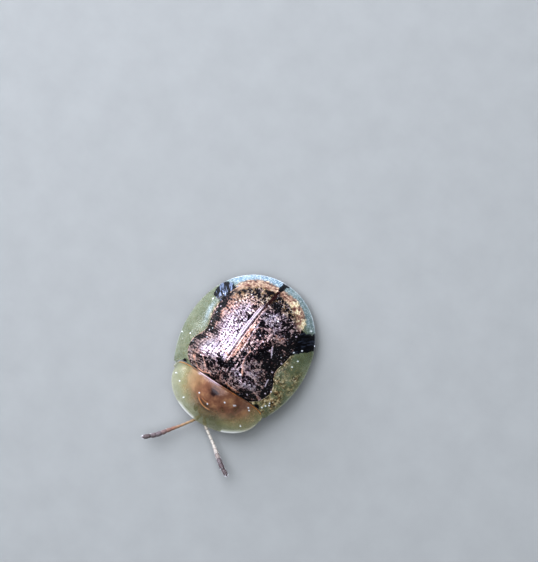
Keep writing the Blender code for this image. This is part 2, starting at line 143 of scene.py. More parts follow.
def value_noise(x, y, size, seed):
    """Smooth random heights from -1 to 1, on a lattice of that size in millimetres."""
    lattice = np.random.default_rng(seed).uniform(-1, 1, (LATTICE, LATTICE))
    x = x / size + 40.0
    y = y / size + 40.0
    left = np.floor(x).astype(int)
    low = np.floor(y).astype(int)
    fx = smooth(0, 1, x - left)
    fy = smooth(0, 1, y - low)
    left, low = left % LATTICE, low % LATTICE
    right, high = (left + 1) % LATTICE, (low + 1) % LATTICE
    near = lattice[left, low] * (1 - fx) + lattice[right, low] * fx
    far = lattice[left, high] * (1 - fx) + lattice[right, high] * fx
    return near * (1 - fy) + far * fy


def fractal(x, y, size, seed, octaves=4):
    """Smooth random heights with finer and finer ones added, mostly from -1.5 to 1.5."""
    total = np.zeros_like(x)
    for octave in range(octaves):
        total += 0.68**octave * value_noise(x, y, size / 2**octave, seed + 7 * octave)
    return total


def disc_reach_table():
    """The disc's edge seen from the boss: its distance for each angle from the rear."""
    spokes = [(math.atan2(x, BOSS_U - u), math.hypot(x, BOSS_U - u)) for x, u in DISC_EDGE]
    before = (-spokes[1][0], spokes[1][1])
    after = (2 * math.pi - spokes[-2][0], spokes[-2][1])
    spokes = [before] + spokes + [after]
    angles = []
    reaches = []
    for (a0, r0), (a1, r1), (a2, r2), (a3, r3) in zip(spokes, spokes[1:], spokes[2:], spokes[3:]):
        span = a2 - a1
        share = np.linspace(0, 1, 60)
        slope1 = (r2 - r0) / (a2 - a0) * span
        slope2 = (r3 - r1) / (a3 - a1) * span
        square, cube = share**2, share**3
        start = (2 * cube - 3 * square + 1) * r1 + (cube - 2 * square + share) * slope1
        reaches.append(start + (3 * square - 2 * cube) * r2 + (cube - square) * slope2)
        angles.append(a1 + span * share)
    return np.concatenate(angles), np.concatenate(reaches)


REACH_ANGLES, REACHES = disc_reach_table()


def disc_reach(angle):
    return np.interp(angle, REACH_ANGLES, REACHES)


def rim_height(u):
    return RIM_REAR_Z + (RIM_FRONT_Z - RIM_REAR_Z) * u / SHELL_LENGTH


def softened(height):
    return 0.5 * (height + np.sqrt(height * height + FOOT_SOFTNESS**2))


def outwardness(x, u):
    """0 at the middle of the wing cases and 1 on their outline."""
    rear = u < WIDEST_U
    power = np.where(rear, REAR_POWER, 2.0)
    reach = np.where(rear, WIDEST_U, FRONT_REACH)
    return ((np.abs(x) / HALF_WIDTH) ** power + (np.abs(u - WIDEST_U) / reach) ** power) ** (1 / power)


def wing_case_height(x, u):
    x = np.abs(x)
    margin = MARGIN_RISE * (1 - np.clip(outwardness(x, u), 0, 1) ** MARGIN_POWER)
    share = np.hypot(x, BOSS_U - u) / disc_reach(np.arctan2(x, BOSS_U - u))
    dome = softened(DISC_RISE * (1 - share**DISC_POWER))
    detail = 0.0
    for at_x, at_u, height, spread in SWELLINGS:
        away = (x - at_x) ** 2 + (u - at_u) ** 2
        detail = detail + height * np.exp(-away / spread**2)
    return rim_height(u) + HALF_PLATE + margin + dome + detail * np.clip(1.3 - share**3, 0, 1)


def pronotum_outwardness(x, u):
    ahead = np.maximum(u - PRONOTUM_WIDEST_U, 0.0) / PRONOTUM_REACH
    return np.hypot(x / PRONOTUM_HALF_WIDTH, ahead)


def pronotum_height(x, u):
    outward = np.clip(pronotum_outwardness(x, u), 0, 1)
    margin = PRONOTUM_MARGIN_RISE * (1 - outward**MARGIN_POWER)
    along = np.maximum(u - PRONOTUM_DOME_U, 0.0) / PRONOTUM_DOME_REACH
    share = np.hypot(x / PRONOTUM_DOME_HALF_WIDTH, along)
    dome = softened(PRONOTUM_DOME_RISE * (1 - share * share))
    return rim_height(u) + HALF_PLATE + margin + dome


def pronotum_hind_u(x):
    share = np.clip(np.abs(x) / PRONOTUM_HALF_WIDTH, 0, 1) ** PRONOTUM_BACK_POWER
    return PRONOTUM_WIDEST_U - PRONOTUM_BACK * (1 - share) ** (1 / PRONOTUM_BACK_POWER)


def resampled(x, u, share):
    """Places at those shares of the length of a line of places."""
    run = np.concatenate([[0.0], np.cumsum(np.hypot(np.diff(x), np.diff(u)))])
    return np.interp(share * run[-1], run, x), np.interp(share * run[-1], run, u)


def disc_edge_line():
    """The left disc's edge from the base of the wing case round to its rear end."""
    angle = np.linspace(math.pi, 0, 1500)
    reach = disc_reach(angle)
    x, u = reach * np.sin(angle), BOSS_U - reach * np.cos(angle)
    kept = u <= pronotum_hind_u(x) - BASE_SEAM
    first = int(np.argmax(kept))
    return x[first:], u[first:]


def rim_line():
    """The left wing case's outline from its shoulder round to the rear tip."""
    angle = np.linspace(math.asin((SHOULDER_U - WIDEST_U) / FRONT_REACH), 0, 400)
    front_x = HALF_WIDTH * np.cos(angle)
    front_u = WIDEST_U + FRONT_REACH * np.sin(angle)
    angle = np.linspace(math.pi / 2, 0, 900)[1:]
    rear_x = HALF_WIDTH * np.sin(angle) ** (2 / REAR_POWER)
    rear_u = WIDEST_U - WIDEST_U * np.cos(angle) ** (2 / REAR_POWER)
    return np.concatenate([front_x, rear_x]), np.concatenate([front_u, rear_u])


# Making and finishing pieces


def deselect():
    if bpy.context.object and bpy.context.object.mode != "OBJECT":
        bpy.ops.object.mode_set(mode="OBJECT")
    bpy.ops.object.select_all(action="DESELECT")


def pick(piece):
    deselect()
    piece.select_set(True)
    bpy.context.view_layer.objects.active = piece


def points_of(piece):
    flat = np.empty(len(piece.data.vertices) * 3)
    piece.data.vertices.foreach_get("co", flat)
    return flat.reshape(-1, 3)


def move_points(piece, points):
    piece.data.vertices.foreach_set("co", np.ascontiguousarray(points, dtype=np.float64).ravel())
    piece.data.update()


def paint(piece, name, values):
    """Keeps a number for each point under a name that the materials read."""
    layer = piece.data.attributes.new(name, "FLOAT", "POINT")
    layer.data.foreach_set("value", np.ascontiguousarray(values, dtype=np.float32))


def facing_up(piece):
    """Turns a sheet over if its faces look down."""
    normals = np.empty(len(piece.data.polygons) * 3)
    piece.data.polygons.foreach_get("normal", normals)
    if normals.reshape(-1, 3)[:, 2].mean() < 0:
        piece.data.flip_normals()


def merged(piece):
    """Joins the points of a grid that fall on one place."""
    pick(piece)
    bpy.ops.object.mode_set(mode="EDIT")
    bpy.ops.mesh.select_all(action="SELECT")
    bpy.ops.mesh.remove_doubles(threshold=1e-5)
    bpy.ops.object.mode_set(mode="OBJECT")


def thickened(piece, thickness):
    """Gives a sheet its thickness below its upper face."""
    pick(piece)
    solid = piece.modifiers.new("plate", "SOLIDIFY")
    solid.thickness = thickness
    solid.offset = -1
    bpy.ops.object.modifier_apply(modifier=solid.name)


def settle(piece, material, slot, *nodes, angle=40):
    """Finishes a piece: smooth faces, metres, material, body and the solid it stands for. The slot is
    not used.
    """
    pick(piece)
    bpy.ops.object.transform_apply(location=True, rotation=True, scale=True)
    bpy.ops.object.shade_smooth_by_angle(angle=math.radians(angle))
    piece.data.transform(Matrix.Scale(MM, 4))
    piece.data.materials.clear()
    piece.data.materials.append(material)
    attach(piece, "root")
    if nodes:
        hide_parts(*nodes)


def newest(name):
    """The primitive that was just added, under its name."""
    made = bpy.context.object
    made.name = made.data.name = name
    return made


def grid_sheet(name, across, along):
    """A flat grid whose points run from 0 to 1 both ways."""
    deselect()
    bpy.ops.mesh.primitive_grid_add(x_subdivisions=across, y_subdivisions=along, size=1)
    sheet = newest(name)
    points = points_of(sheet)
    return sheet, points[:, 0] + 0.5, points[:, 1] + 0.5


def placed(x, u, z):
    return np.stack([x, REAR_Y - u, z], axis=1)


def joined(name, pieces):
    deselect()
    for piece in pieces:
        piece.select_set(True)
    bpy.context.view_layer.objects.active = pieces[0]
    bpy.ops.object.join()
    pieces[0].name = pieces[0].data.name = name
    return pieces[0]


def sphere(name, segments, rings):
    deselect()
    bpy.ops.mesh.primitive_uv_sphere_add(segments=segments, ring_count=rings, radius=1)
    return newest(name)


def spindle(name, route, wide, high, segments=20, rings=14, bluntness=6.0):
    """A closed rounded form along a route of places, with half widths and half heights along it."""
    form = sphere(name, segments, rings)
    points = points_of(form)
    share = np.arccos(np.clip(-points[:, 2], -1, 1)) / math.pi
    turn = np.arctan2(points[:, 1], points[:, 0])
    fine = np.linspace(0, 1, 60)
    line = smooth_line([(x, REAR_Y - u, z) for x, u, z in route], fine)
    ahead = np.gradient(line, axis=0)
    ahead /= np.linalg.norm(ahead, axis=1)[:, None]
    across = np.cross(ahead, [0.0, 0.0, 1.0])
    across /= np.maximum(np.linalg.norm(across, axis=1), 1e-6)[:, None]
    over = np.cross(across, ahead)
    closing = np.sqrt(np.maximum(1 - np.abs(2 * share - 1) ** bluntness, 0))
    half_wide = np.interp(share, np.linspace(0, 1, len(wide)), wide) * closing
    half_high = np.interp(share, np.linspace(0, 1, len(high)), high) * closing

    def at(values):
        return np.stack([np.interp(share, fine, values[:, axis]) for axis in range(3)], axis=1)

    moved = at(line) + at(across) * (np.cos(turn) * half_wide)[:, None]
    move_points(form, moved + at(over) * (np.sin(turn) * half_high)[:, None])
    outward(form)
    return form


def smooth_line(route, fine):
    """Places along a smooth curve through a route of evenly spaced ones."""
    route = np.array(route, float)
    stations = np.linspace(0, 1, len(route))
    if len(route) < 3:
        return np.stack([np.interp(fine, stations, values) for values in route.T], axis=1)
    slopes = np.gradient(route, stations, axis=0)
    index = np.clip(np.searchsorted(stations, fine, side="right") - 1, 0, len(route) - 2)
    span = (stations[index + 1] - stations[index])[:, None]
    share = (fine - stations[index])[:, None] / span
    square, cube = share**2, share**3
    near = (2 * cube - 3 * square + 1) * route[index]
    near += (cube - 2 * square + share) * span * slopes[index]
    far = (3 * square - 2 * cube) * route[index + 1]
    return near + far + (cube - square) * span * slopes[index + 1]


def outward(form):
    pick(form)
    bpy.ops.object.mode_set(mode="EDIT")
    bpy.ops.mesh.select_all(action="SELECT")
    bpy.ops.mesh.normals_make_consistent(inside=False)
    bpy.ops.object.mode_set(mode="OBJECT")


def ball(name, x, u, z, halves, segments, rings):
    """A rounded form with its halves given along x, u and z."""
    form = sphere(name, segments, rings)
    move_points(form, points_of(form) * np.array(halves) + np.array([x, REAR_Y - u, z]))
    return form


# Materials

# Pale dust on the wing cases, its specks 0.08 mm across
DUST_SPACING = 0.3
DUST_SHARE = 0.25
DUST_REACH = 0.135
DUST_COLOUR = "#EDF1F4"


def linear(code):
    """An sRGB hex colour as Blender's linear one."""
    channels = [int(code[start : start + 2], 16) / 255 for start in (1, 3, 5)]
    straight = [c / 12.92 if c <= 0.04045 else ((c + 0.055) / 1.055) ** 2.4 for c in channels]
    return (*straight, 1.0)


def per_mm(size):
    """The scale that gives a pattern features of that size in millimetres."""
    return 1.0 / (size * MM)


def new_material(name):
    """A material with its tree, its shader and the place that its patterns read."""
    material = bpy.data.materials.new(name)
    material.use_nodes = True
    tree = material.node_tree
    place = add(tree, "TexCoord", {}, "Object")
    return material, tree, tree.nodes["Principled BSDF"], place


def connect(tree, node, links):
    """Links a node's inputs to sockets, or sets them to values or to sRGB hex colours."""
    for key, value in links.items():
        if isinstance(value, bpy.types.NodeSocket):
            tree.links.new(value, node.inputs[key])
        else:
            node.inputs[key].default_value = linear(value) if isinstance(value, str) else value


def add(tree, kind, links, out=0, stops=(), **settings):
    """Adds a node with its settings and links, and a ramp's stops, and gives one of its outputs."""
    made = tree.nodes.new("ShaderNode" + kind)
    for key, value in settings.items():
        setattr(made, key, value)
    connect(tree, made, links)
    while stops and len(made.color_ramp.elements) < len(stops):
        made.color_ramp.elements.new(0.5)
    for index, (at, colour) in enumerate(stops):
        element = made.color_ramp.elements[index]
        element.position = at
        element.color = linear(colour) if isinstance(colour, str) else (colour,) * 3 + (1.0,)
    return made.outputs[out]


def layered(tree, body, *layers):
    """Lays colours over a colour, each as strong as its mask times its share. The Mix node's colours
    go in at sockets 6 and 7 and come out at 2."""
    for mask, share, over, *blend in layers:
        weight = add(tree, "Math", {0: mask, 1: share}, operation="MULTIPLY", use_clamp=True)
        how = blend[0] if blend else "MIX"
        body = add(tree, "Mix", {0: weight, 6: body, 7: over}, 2, data_type="RGBA", blend_type=how)
    return body


def scattered(tree, place, size, share, reach):
    """Round spots in that share of the cells of that size; the reach is in cells."""
    near = add(tree, "TexVoronoi", {"Vector": place, "Scale": per_mm(size)})
    parted = add(tree, "SeparateColor", {"Color": near.node.outputs["Color"]})
    round_spots = add(tree, "ValToRGB", {0: near}, stops=((reach * 0.8, 1.0), (reach * 1.2, 0.0)))
    chosen = add(tree, "ValToRGB", {0: parted}, stops=((0.99 - share, 0.0), (1.0 - share, 1.0)))
    return add(tree, "Math", {0: round_spots, 1: chosen}, operation="MULTIPLY")


def copper_cuticle():
    """Sculptured wing-case cuticle: thin reflecting layers under clear wax give it a coppery metal
    gleam, and black pigment fills its pits and marbles it. Its silver-pink pale patches and white
    glint specks are painted highlights."""
    material, tree, shader, place = new_material("cuticle_copper_sculptured")
    names = "pit ridge black gold pale orange band cream rust tan glint".split()
    mark = {name: add(tree, "Attribute", {}, "Fac", attribute_name=name) for name in names}
    # The finest flecks and the painted glint specks are drawn 0.06 to 0.07 mm across, coarser than real,
    # to show
    fleck, hue, grain = (
        add(
            tree,
            "TexNoise",
            {"Vector": place, "Scale": per_mm(size), "Detail": detail, "Roughness": rough},
        )
        for size, detail, rough in ((0.06, 3.0, 0.6), (0.3, 5.0, 0.65), (0.03, 2.0, 0.55))
    )
    glint = scattered(tree, place, 0.07, 0.17, 0.36)
    glint = add(tree, "Math", {0: glint, 1: mark["glint"]}, operation="MULTIPLY")
    dust = scattered(tree, place, DUST_SPACING, DUST_SHARE, DUST_REACH)

    stops = ((0.36, "#7A5A5A"), (0.46, "#C4A49E"), (0.55, "#FAE2D6"), (0.66, "#A88C8C"))
    copper = add(tree, "ValToRGB", {0: hue}, stops=stops)
    stops = ((0.36, "#6E5A40"), (0.48, "#B89E74"), (0.6, "#EADCBC"))
    bronze = add(tree, "ValToRGB", {0: hue}, stops=stops)
    sheen_colour = add(tree, "ValToRGB", {0: fleck}, stops=((0.38, "#9686A8"), (0.58, "#F8F0F4")))
    mottle = add(tree, "ValToRGB", {0: fleck}, stops=((0.4, "#A08C98"), (0.54, "#FFFFFF")))
    stops = ((0.38, "#6A4A42"), (0.48, "#947666"), (0.6, "#BEA690"))
    gilt = add(tree, "ValToRGB", {0: hue}, stops=stops)
    cream = add(tree, "ValToRGB", {0: fleck}, stops=((0.4, "#C4AC80"), (0.56, "#F8F0D0")))
    gilt = layered(tree, gilt, (mark["cream"], 1.0, cream))
    # Raised lines: tan, or near white where their colour is a painted highlight along the crest
    line = layered(tree, "#F2E4F0", (mark["tan"], 1.0, "#E6AE8A"))

    soot = add(tree, "Math", {0: fleck, 1: 1.6, 2: -0.8}, operation="MULTIPLY_ADD")
    soot = add(tree, "Math", {0: mark["black"], 1: soot}, operation="ADD")
    smoke = add(tree, "ValToRGB", {0: soot}, stops=((0.28, 0.0), (0.5, 1.0)))
    black = add(tree, "ValToRGB", {0: soot}, stops=((0.46, 0.0), (0.62, 1.0)))
    body = layered(
        tree,
        copper,
        (mark["gold"], 1.0, bronze),
        (mark["orange"], 0.6, "#F0B896"),
        # Painted highlight: the pale silver-pink sheen
        (mark["pale"], 1.0, sheen_colour),
        (0.7, 1.0, mottle, "MULTIPLY"),
        (smoke, 1.0, "#5A3C3C", "MULTIPLY"),
        (black, 1.0, "#0C070C"),
        (mark["pit"], 0.85, "#1A1220"),
        (mark["rust"], 1.0, "#3A1A1A"),
        (mark["ridge"], 0.85, line),
        # Painted highlight: white glint specks
        (glint, 1.0, "#F4EEF4"),
        (mark["band"], 1.0, gilt),
        (dust, 1.0, DUST_COLOUR),
    )

    metal = 0.42
    for mask, share in ((mark["pale"], 0.3), (black, -0.4), (mark["ridge"], -0.3), (mark["band"], -0.3)):
        metal = add(tree, "Math", {0: mask, 1: share, 2: metal}, operation="MULTIPLY_ADD")
    metal = add(tree, "Math", {0: metal, 1: dust}, operation="SUBTRACT", use_clamp=True)
    rough = 0.2
    for mask, share in ((fleck, 0.35), (dust, 0.4)):
        rough = add(tree, "Math", {0: mask, 1: share, 2: rough}, operation="MULTIPLY_ADD")
    sunk = add(tree, "Math", {0: black, 1: -1.0}, operation="MULTIPLY")
    relief = add(tree, "Bump", {"Height": sunk, "Distance": 0.012 * MM, "Strength": 0.8})
    links = {"Height": grain, "Distance": 0.006 * MM, "Strength": 0.6, "Normal": relief}
    relief = add(tree, "Bump", links)
    connect(tree, shader, {"Base Color": body, "Metallic": metal, "Roughness": rough, "Normal": relief})
    connect(tree, shader, {"Specular IOR Level": 0.25, "Coat Weight": 0.1, "Coat Roughness": 0.12})
    return material


def clear_cuticle():
    """The margin of the wing case: a clear double layer of cuticle whose pillars show as a fine
    honeycomb, frosted white behind, with black bars and a golden edge along the disc. The frosted white
    is partly painted reflection, the blue-grey gleam on the bars is painted reflection, and the white
    along the rim is a painted highlight."""
    material, tree, shader, place = new_material("cuticle_clear_margin")
    names = "inner bar soil frost lip cream gleam".split()
    mark = {name: add(tree, "Attribute", {}, "Fac", attribute_name=name) for name in names}
    sizes = ((0.14, 4.0, 0.65), (0.45, 3.0, 0.55), (0.25, 5.0, 0.7), (0.06, 3.0, 0.6))
    ragged, soft, torn, fleck = (
        add(
            tree,
            "TexNoise",
            {"Vector": place, "Scale": per_mm(size), "Detail": detail, "Roughness": rough},
        )
        for size, detail, rough in sizes
    )
    # The real honeycomb and frost are finer, and are drawn 0.12 and 0.085 mm across to show
    walls = {"Vector": place, "Scale": per_mm(0.12)}
    comb = add(tree, "TexVoronoi", walls, feature="DISTANCE_TO_EDGE")
    comb = add(tree, "ValToRGB", {0: comb}, stops=((0.0, 1.0), (0.2, 0.0)))
    # Frost-white, partly painted reflection
    frost = add(tree, "TexVoronoi", {"Vector": place, "Scale": per_mm(0.085)})
    frost = add(tree, "ValToRGB", {0: frost}, stops=((0.3, "#D6E8F6"), (0.6, "#88A4B6")))
    dust = scattered(tree, place, DUST_SPACING, DUST_SHARE, DUST_REACH)

    torn = add(tree, "Math", {0: torn, 1: 2.2, 2: -1.1}, operation="MULTIPLY_ADD")
    bar = add(tree, "Math", {0: mark["bar"], 1: torn}, operation="ADD")
    bar = add(tree, "ValToRGB", {0: bar}, stops=((0.4, 0.0), (0.54, 1.0)))
    uneven = add(tree, "Math", {0: ragged, 1: 1.3, 2: -0.65}, operation="MULTIPLY_ADD")
    golden = add(tree, "Math", {0: mark["inner"], 1: uneven}, operation="ADD")
    golden = add(tree, "ValToRGB", {0: golden}, stops=((0.42, 0.0), (0.75, 1.0)))
    white = add(tree, "Math", {0: ragged, 1: 1.2, 2: 0.25}, operation="MULTIPLY_ADD")
    white = add(tree, "Math", {0: mark["frost"], 1: white}, operation="MULTIPLY", use_clamp=True)
    grit = scattered(tree, place, 0.1, 0.28, 0.3)
    grit = add(tree, "Math", {0: grit, 1: mark["soil"]}, operation="MULTIPLY")

    stops = ((0.3, "#68785A"), (0.5, "#829272"), (0.7, "#A0AC90"))
    film = add(tree, "ValToRGB", {0: soft}, stops=stops)
    stops = ((0.4, "#3A2E1C"), (0.5, "#806848"), (0.6, "#D2C29A"))
    soil = add(tree, "ValToRGB", {0: ragged}, stops=stops)
    stops = ((0.36, "#5A4038"), (0.47, "#8C7062"), (0.57, "#B69A86"), (0.68, "#E2D2B4"))
    gold = add(tree, "ValToRGB", {0: ragged}, stops=stops)
    cream = add(tree, "ValToRGB", {0: fleck}, stops=((0.4, "#BCA67C"), (0.56, "#F4ECCC")))
    film = layered(
        tree,
        film,
        (comb, 0.6, "#7C7444"),
        (mark["soil"], 1.0, soil),
        (white, 1.0, frost),
        (golden, 1.0, layered(tree, gold, (mark["cream"], 1.0, cream))),
        (grit, 1.0, "#E2DCC0"),
        # Black bars with a painted reflection: blue-grey gleam
        (bar, 1.0, layered(tree, "#04040C", (mark["gleam"], 1.0, "#A4B4D0"))),
        # Painted highlight: white along the rim
        (mark["lip"], 0.6, "#F2F6F6"),
        (dust, 1.0, DUST_COLOUR),
    )

    alpha = 0.36
    for mask, share in ((comb, 0.12), (white, 0.45), (mark["soil"], 0.45), (mark["lip"], 0.5)):
        alpha = add(tree, "Math", {0: mask, 1: share, 2: alpha}, operation="MULTIPLY_ADD")
    gold_weight = add(tree, "Math", {0: golden, 1: 0.96}, operation="MULTIPLY")
    for mask in (bar, dust, gold_weight):
        alpha = add(tree, "Math", {0: alpha, 1: mask}, operation="MAXIMUM", use_clamp=True)
    metal = add(tree, "Math", {0: mark["gleam"], 1: 0.8}, operation="MULTIPLY")
    metal = add(tree, "Math", {0: metal, 1: bar}, operation="MULTIPLY")
    relief = add(tree, "Bump", {"Height": ragged, "Distance": 0.02 * MM, "Strength": 0.6})
    connect(tree, shader, {"Base Color": film, "Alpha": alpha, "Metallic": metal, "Normal": relief})
    connect(tree, shader, {"Roughness": 0.22, "Coat Weight": 0.35, "Coat Roughness": 0.12})
    return material


def amber_cuticle():
    """The neck shield: clear cuticle, stained amber over the head and clear towards its rim. The
    pink-white along its hem, its sheen and the white along its rim are painted highlights, and part
    of its dark spots is painted shade.
    """
    material, tree, shader, place = new_material("cuticle_amber_shield")
    names = "middle olive depth hem blush bright crease sheen spot lip grain".split()
    mark = {name: add(tree, "Attribute", {}, "Fac", attribute_name=name) for name in names}
    soft, fine = (
        add(
            tree,
            "TexNoise",
            {"Vector": place, "Scale": per_mm(size), "Detail": detail, "Roughness": rough},
        )
        for size, detail, rough in ((0.45, 4.0, 0.6), (0.08, 3.0, 0.55))
    )
    # The real honeycomb is finer, and is drawn 0.11 mm across to show
    walls = {"Vector": place, "Scale": per_mm(0.11)}
    comb = add(tree, "TexVoronoi", walls, feature="DISTANCE_TO_EDGE")
    comb = add(tree, "ValToRGB", {0: comb}, stops=((0.0, 1.0), (0.2, 0.0)))
    stain = add(tree, "Math", {0: soft, 1: 0.7, 2: -0.35}, operation="MULTIPLY_ADD")
    stain = add(tree, "Math", {0: mark["middle"], 1: stain}, operation="ADD")
    stain = add(tree, "ValToRGB", {0: stain}, stops=((0.1, 0.0), (0.9, 1.0)))

    stops = ((0.3, "#6E4C3A"), (0.5, "#8C6650"), (0.7, "#AE8A68"))
    amber = add(tree, "ValToRGB", {0: soft}, stops=stops)
    film = add(tree, "ValToRGB", {0: soft}, stops=((0.3, "#9AA068"), (0.7, "#B8BC94")))
    # Hem: dark brown and orange, with a painted pink-white highlight along its middle
    edging = layered(tree, "#6C4334", (mark["bright"], 1.0, "#CE8E4E"), (mark["blush"], 1.0, "#D6C4CC"))
    body = layered(
        tree,
        film,
        (comb, 0.4, "#8C7F50"),
        (stain, 1.0, layered(tree, amber, (mark["olive"], 0.55, "#BCA47A"))),
        # Painted highlight: pink sheen behind the hem
        (mark["sheen"], 1.0, "#D8C8D0"),
        # Dark spots, partly painted shade
        (mark["spot"], 0.9, "#22141A"),
        (mark["crease"], 1.0, "#D9995E"),
        (mark["hem"], 0.8, edging),
        # Painted highlight: white along the rim
        (mark["lip"], 0.8, "#FBFCFA"),
        (mark["grain"], 1.0, DUST_COLOUR),
    )

    alpha = 0.3
    parts = ((stain, mark["depth"]), (mark["crease"], 0.4), (mark["lip"], 0.5), (mark["spot"], 0.35))
    for mask, share in parts:
        alpha = add(tree, "Math", {0: mask, 1: share, 2: alpha}, operation="MULTIPLY_ADD")
    for mask in (mark["grain"], mark["hem"]):
        alpha = add(tree, "Math", {0: alpha, 1: mask}, operation="MAXIMUM", use_clamp=True)
    relief = add(tree, "Bump", {"Height": fine, "Distance": 0.008 * MM, "Strength": 0.6})
    connect(tree, shader, {"Base Color": body, "Alpha": alpha, "Normal": relief})
    connect(tree, shader, {"Roughness": 0.26, "Coat Weight": 0.4, "Coat Roughness": 0.12})
    return material


def brown_cuticle(name, deep, pale, roughness=0.38):
    """Plain cuticle of the underside and limbs: smooth and waxy, darker where it is thick."""
    material, tree, shader, place = new_material(name)
    soft, grain = (
        add(
            tree,
            "TexNoise",
            {"Vector": place, "Scale": per_mm(size), "Detail": detail, "Roughness": rough},
        )
        for size, detail, rough in ((0.4, 4.0, 0.6), (0.05, 2.0, 0.55))
    )
    tone = add(tree, "ValToRGB", {0: soft}, stops=((0.3, deep), (0.7, pale)))
    rough = add(tree, "Math", {0: soft, 1: 0.2, 2: roughness - 0.1}, operation="MULTIPLY_ADD")
    relief = add(tree, "Bump", {"Height": grain, "Distance": 0.006 * MM, "Strength": 0.5})
    connect(tree, shader, {"Base Color": tone, "Roughness": rough, "Normal": relief})
    connect(tree, shader, {"Coat Weight": 0.25, "Coat Roughness": 0.2})
    return material


def feeler_cuticle():
    """Feeler cuticle: tawny and bare at the base, greyer where the club is covered in fine hair.
    The pale stalk of the left feeler is a painted highlight.
    """
    material, tree, shader, place = new_material("cuticle_feeler")
    names = "along bleach joint hair".split()
    mark = {name: add(tree, "Attribute", {}, "Fac", attribute_name=name) for name in names}
    links = {"Vector": place, "Scale": per_mm(0.07), "Detail": 3.0, "Roughness": 0.55}
    soft = add(tree, "TexNoise", links)
    stops = ((0.0, "#A68C62"), (0.3, "#9E8462"), (0.5, "#8A6450"), (0.7, "#6C6264"), (1.0, "#4E4442"))
    tone = add(tree, "ValToRGB", {0: mark["along"]}, stops=stops)
    hair = add(tree, "ValToRGB", {0: mark["along"]}, stops=((0.3, "#D0C0AC"), (0.6, "#F2F2F2")))
    tone = layered(
        tree,
        tone,
        # Painted highlight: pale stalk
        (mark["bleach"], 1.0, "#E8E8DC"),
        (mark["joint"], 0.7, "#30262A"),
        (soft, 0.3, "#6A5448"),
        (mark["hair"], 1.0, hair),
    )
    relief = add(tree, "Bump", {"Height": soft, "Distance": 0.008 * MM, "Strength": 0.6})
    connect(tree, shader, {"Base Color": tone, "Normal": relief, "Roughness": 0.5})
    connect(tree, shader, {"Sheen Weight": 0.55, "Sheen Roughness": 0.35, "Sheen Tint": "#EEEEF2"})
    return material


def eye_lens():
    """Compound eye: near-black, with a lens on each facet."""
    material, tree, shader, place = new_material("cuticle_eye_lens")
    links = {"Vector": place, "Scale": per_mm(0.15), "Detail": 3.0, "Roughness": 0.55}
    soft = add(tree, "TexNoise", links)
    tone = add(tree, "ValToRGB", {0: soft}, stops=((0.3, "#0C0909"), (0.7, "#241714")))
    connect(tree, shader, {"Base Color": tone, "Roughness": 0.12, "Coat Weight": 0.8})
    return material


def floor_card():
    """Plain pale card."""
    material, tree, shader, place = new_material("card_pale")
    links = {"Vector": place, "Scale": per_mm(1.5), "Detail": 3.0, "Roughness": 0.55}
    soft = add(tree, "TexNoise", links)
    tone = add(tree, "ValToRGB", {0: soft}, stops=((0.3, "#90928E"), (0.7, "#949692")))
    connect(tree, shader, {"Base Color": tone, "Roughness": 0.75})
    return material


# The wing cases


def segment_away(x, u, start, end):
    """Distance of places from a line between two places."""
    dx, du = end[0] - start[0], end[1] - start[1]
    share = np.clip(((x - start[0]) * dx + (u - start[1]) * du) / (dx * dx + du * du), 0, 1)
    return np.hypot(x - start[0] - share * dx, u - start[1] - share * du)


# Raised lines of each wing case: places, height, half width and how tan it is. The less tan a
# line, the nearer white it is painted: a painted highlight along its crest
RIDGES = {
    "left": (
        (((0.68, 3.42), (0.64, 3.75), (0.72, 4.1), (0.95, 4.55)), 0.06, 0.028, 0.8),
        (((1.35, 2.73), (1.52, 3.19)), 0.07, 0.018, 0.0),
        (((1.86, 4.1), (1.92, 4.45)), 0.07, 0.018, 0.0),
        (((1.2, 2.2), (1.29, 2.29), (1.44, 2.3), (1.48, 2.15)), 0.045, 0.028, 1.0),
        (((0.35, 3.64), (0.33, 3.05), (0.27, 2.22)), 0.03, 0.022, 0.0),
        (((0.45, 5.25), (0.78, 5.35), (1.1, 5.3)), 0.03, 0.035, 1.0),
        (((0.83, 0.82), (0.6, 0.84), (0.29, 0.9)), 0.03, 0.022, 0.6),
    ),
    "right": (
        (((0.7, 1.56), (0.57, 2.33), (0.45, 2.76), (0.48, 3.58), (0.4, 3.98)), 0.035, 0.028, 0.1),
        (((0.01, 4.13), (0.4, 3.98), (0.63, 4.32)), 0.045, 0.032, 0.8),
        (((0.4, 3.98), (0.96, 3.52)), 0.04, 0.03, 0.5),
        (((1.62, 4.98), (1.36, 5.2), (1.15, 5.39), (0.86, 5.41), (0.49, 5.29)), 0.08, 0.03, 0.9),
        (((1.08, 4.77), (0.93, 4.93), (0.76, 5.12)), 0.08, 0.026, 0.7),
        (((0.83, 0.82), (0.6, 0.84), (0.29, 0.9)), 0.03, 0.022, 0.6),
    ),
}

# Bright pale specks on each wing case and on the neck shield, raised a little on the discs: x and u
GRAINS = {
    "left": (
        (0.92, 2.76), (1.33, 2.94), (0.65, 2.59), (1.83, 1.78), (1.24, 4.81), (1.43, 4.73), (1.8, 3.73),
        (2.2, 4.51), (2.05, 4.72), (1.93, 3.17), (1.45, 5.19), (2.35, 2.18), (2.45, 2.69), (2.38, 3.05),
        (2.1, 2.45), (2.17, 1.2), (2.3, 5.2), (2.42, 5.1), (2.2, 5.35),
    ),
    "right": ((1.84, 3.26), (1.68, 3.63), (1.85, 2.44), (2.9, 4.4), (0.75, 1.3)),
    "shield": (
        (-2.17, 6.14), (-1.78, 6.36), (-0.51, 6.29), (0.08, 6.52), (0.75, 6.04), (1.15, 5.94),
        (1.2, 5.91), (1.69, 5.69), (1.77, 5.78), (1.8, 6.6), (-1.2, 6.9),
    ),
}
GRAIN_RADIUS = 0.035
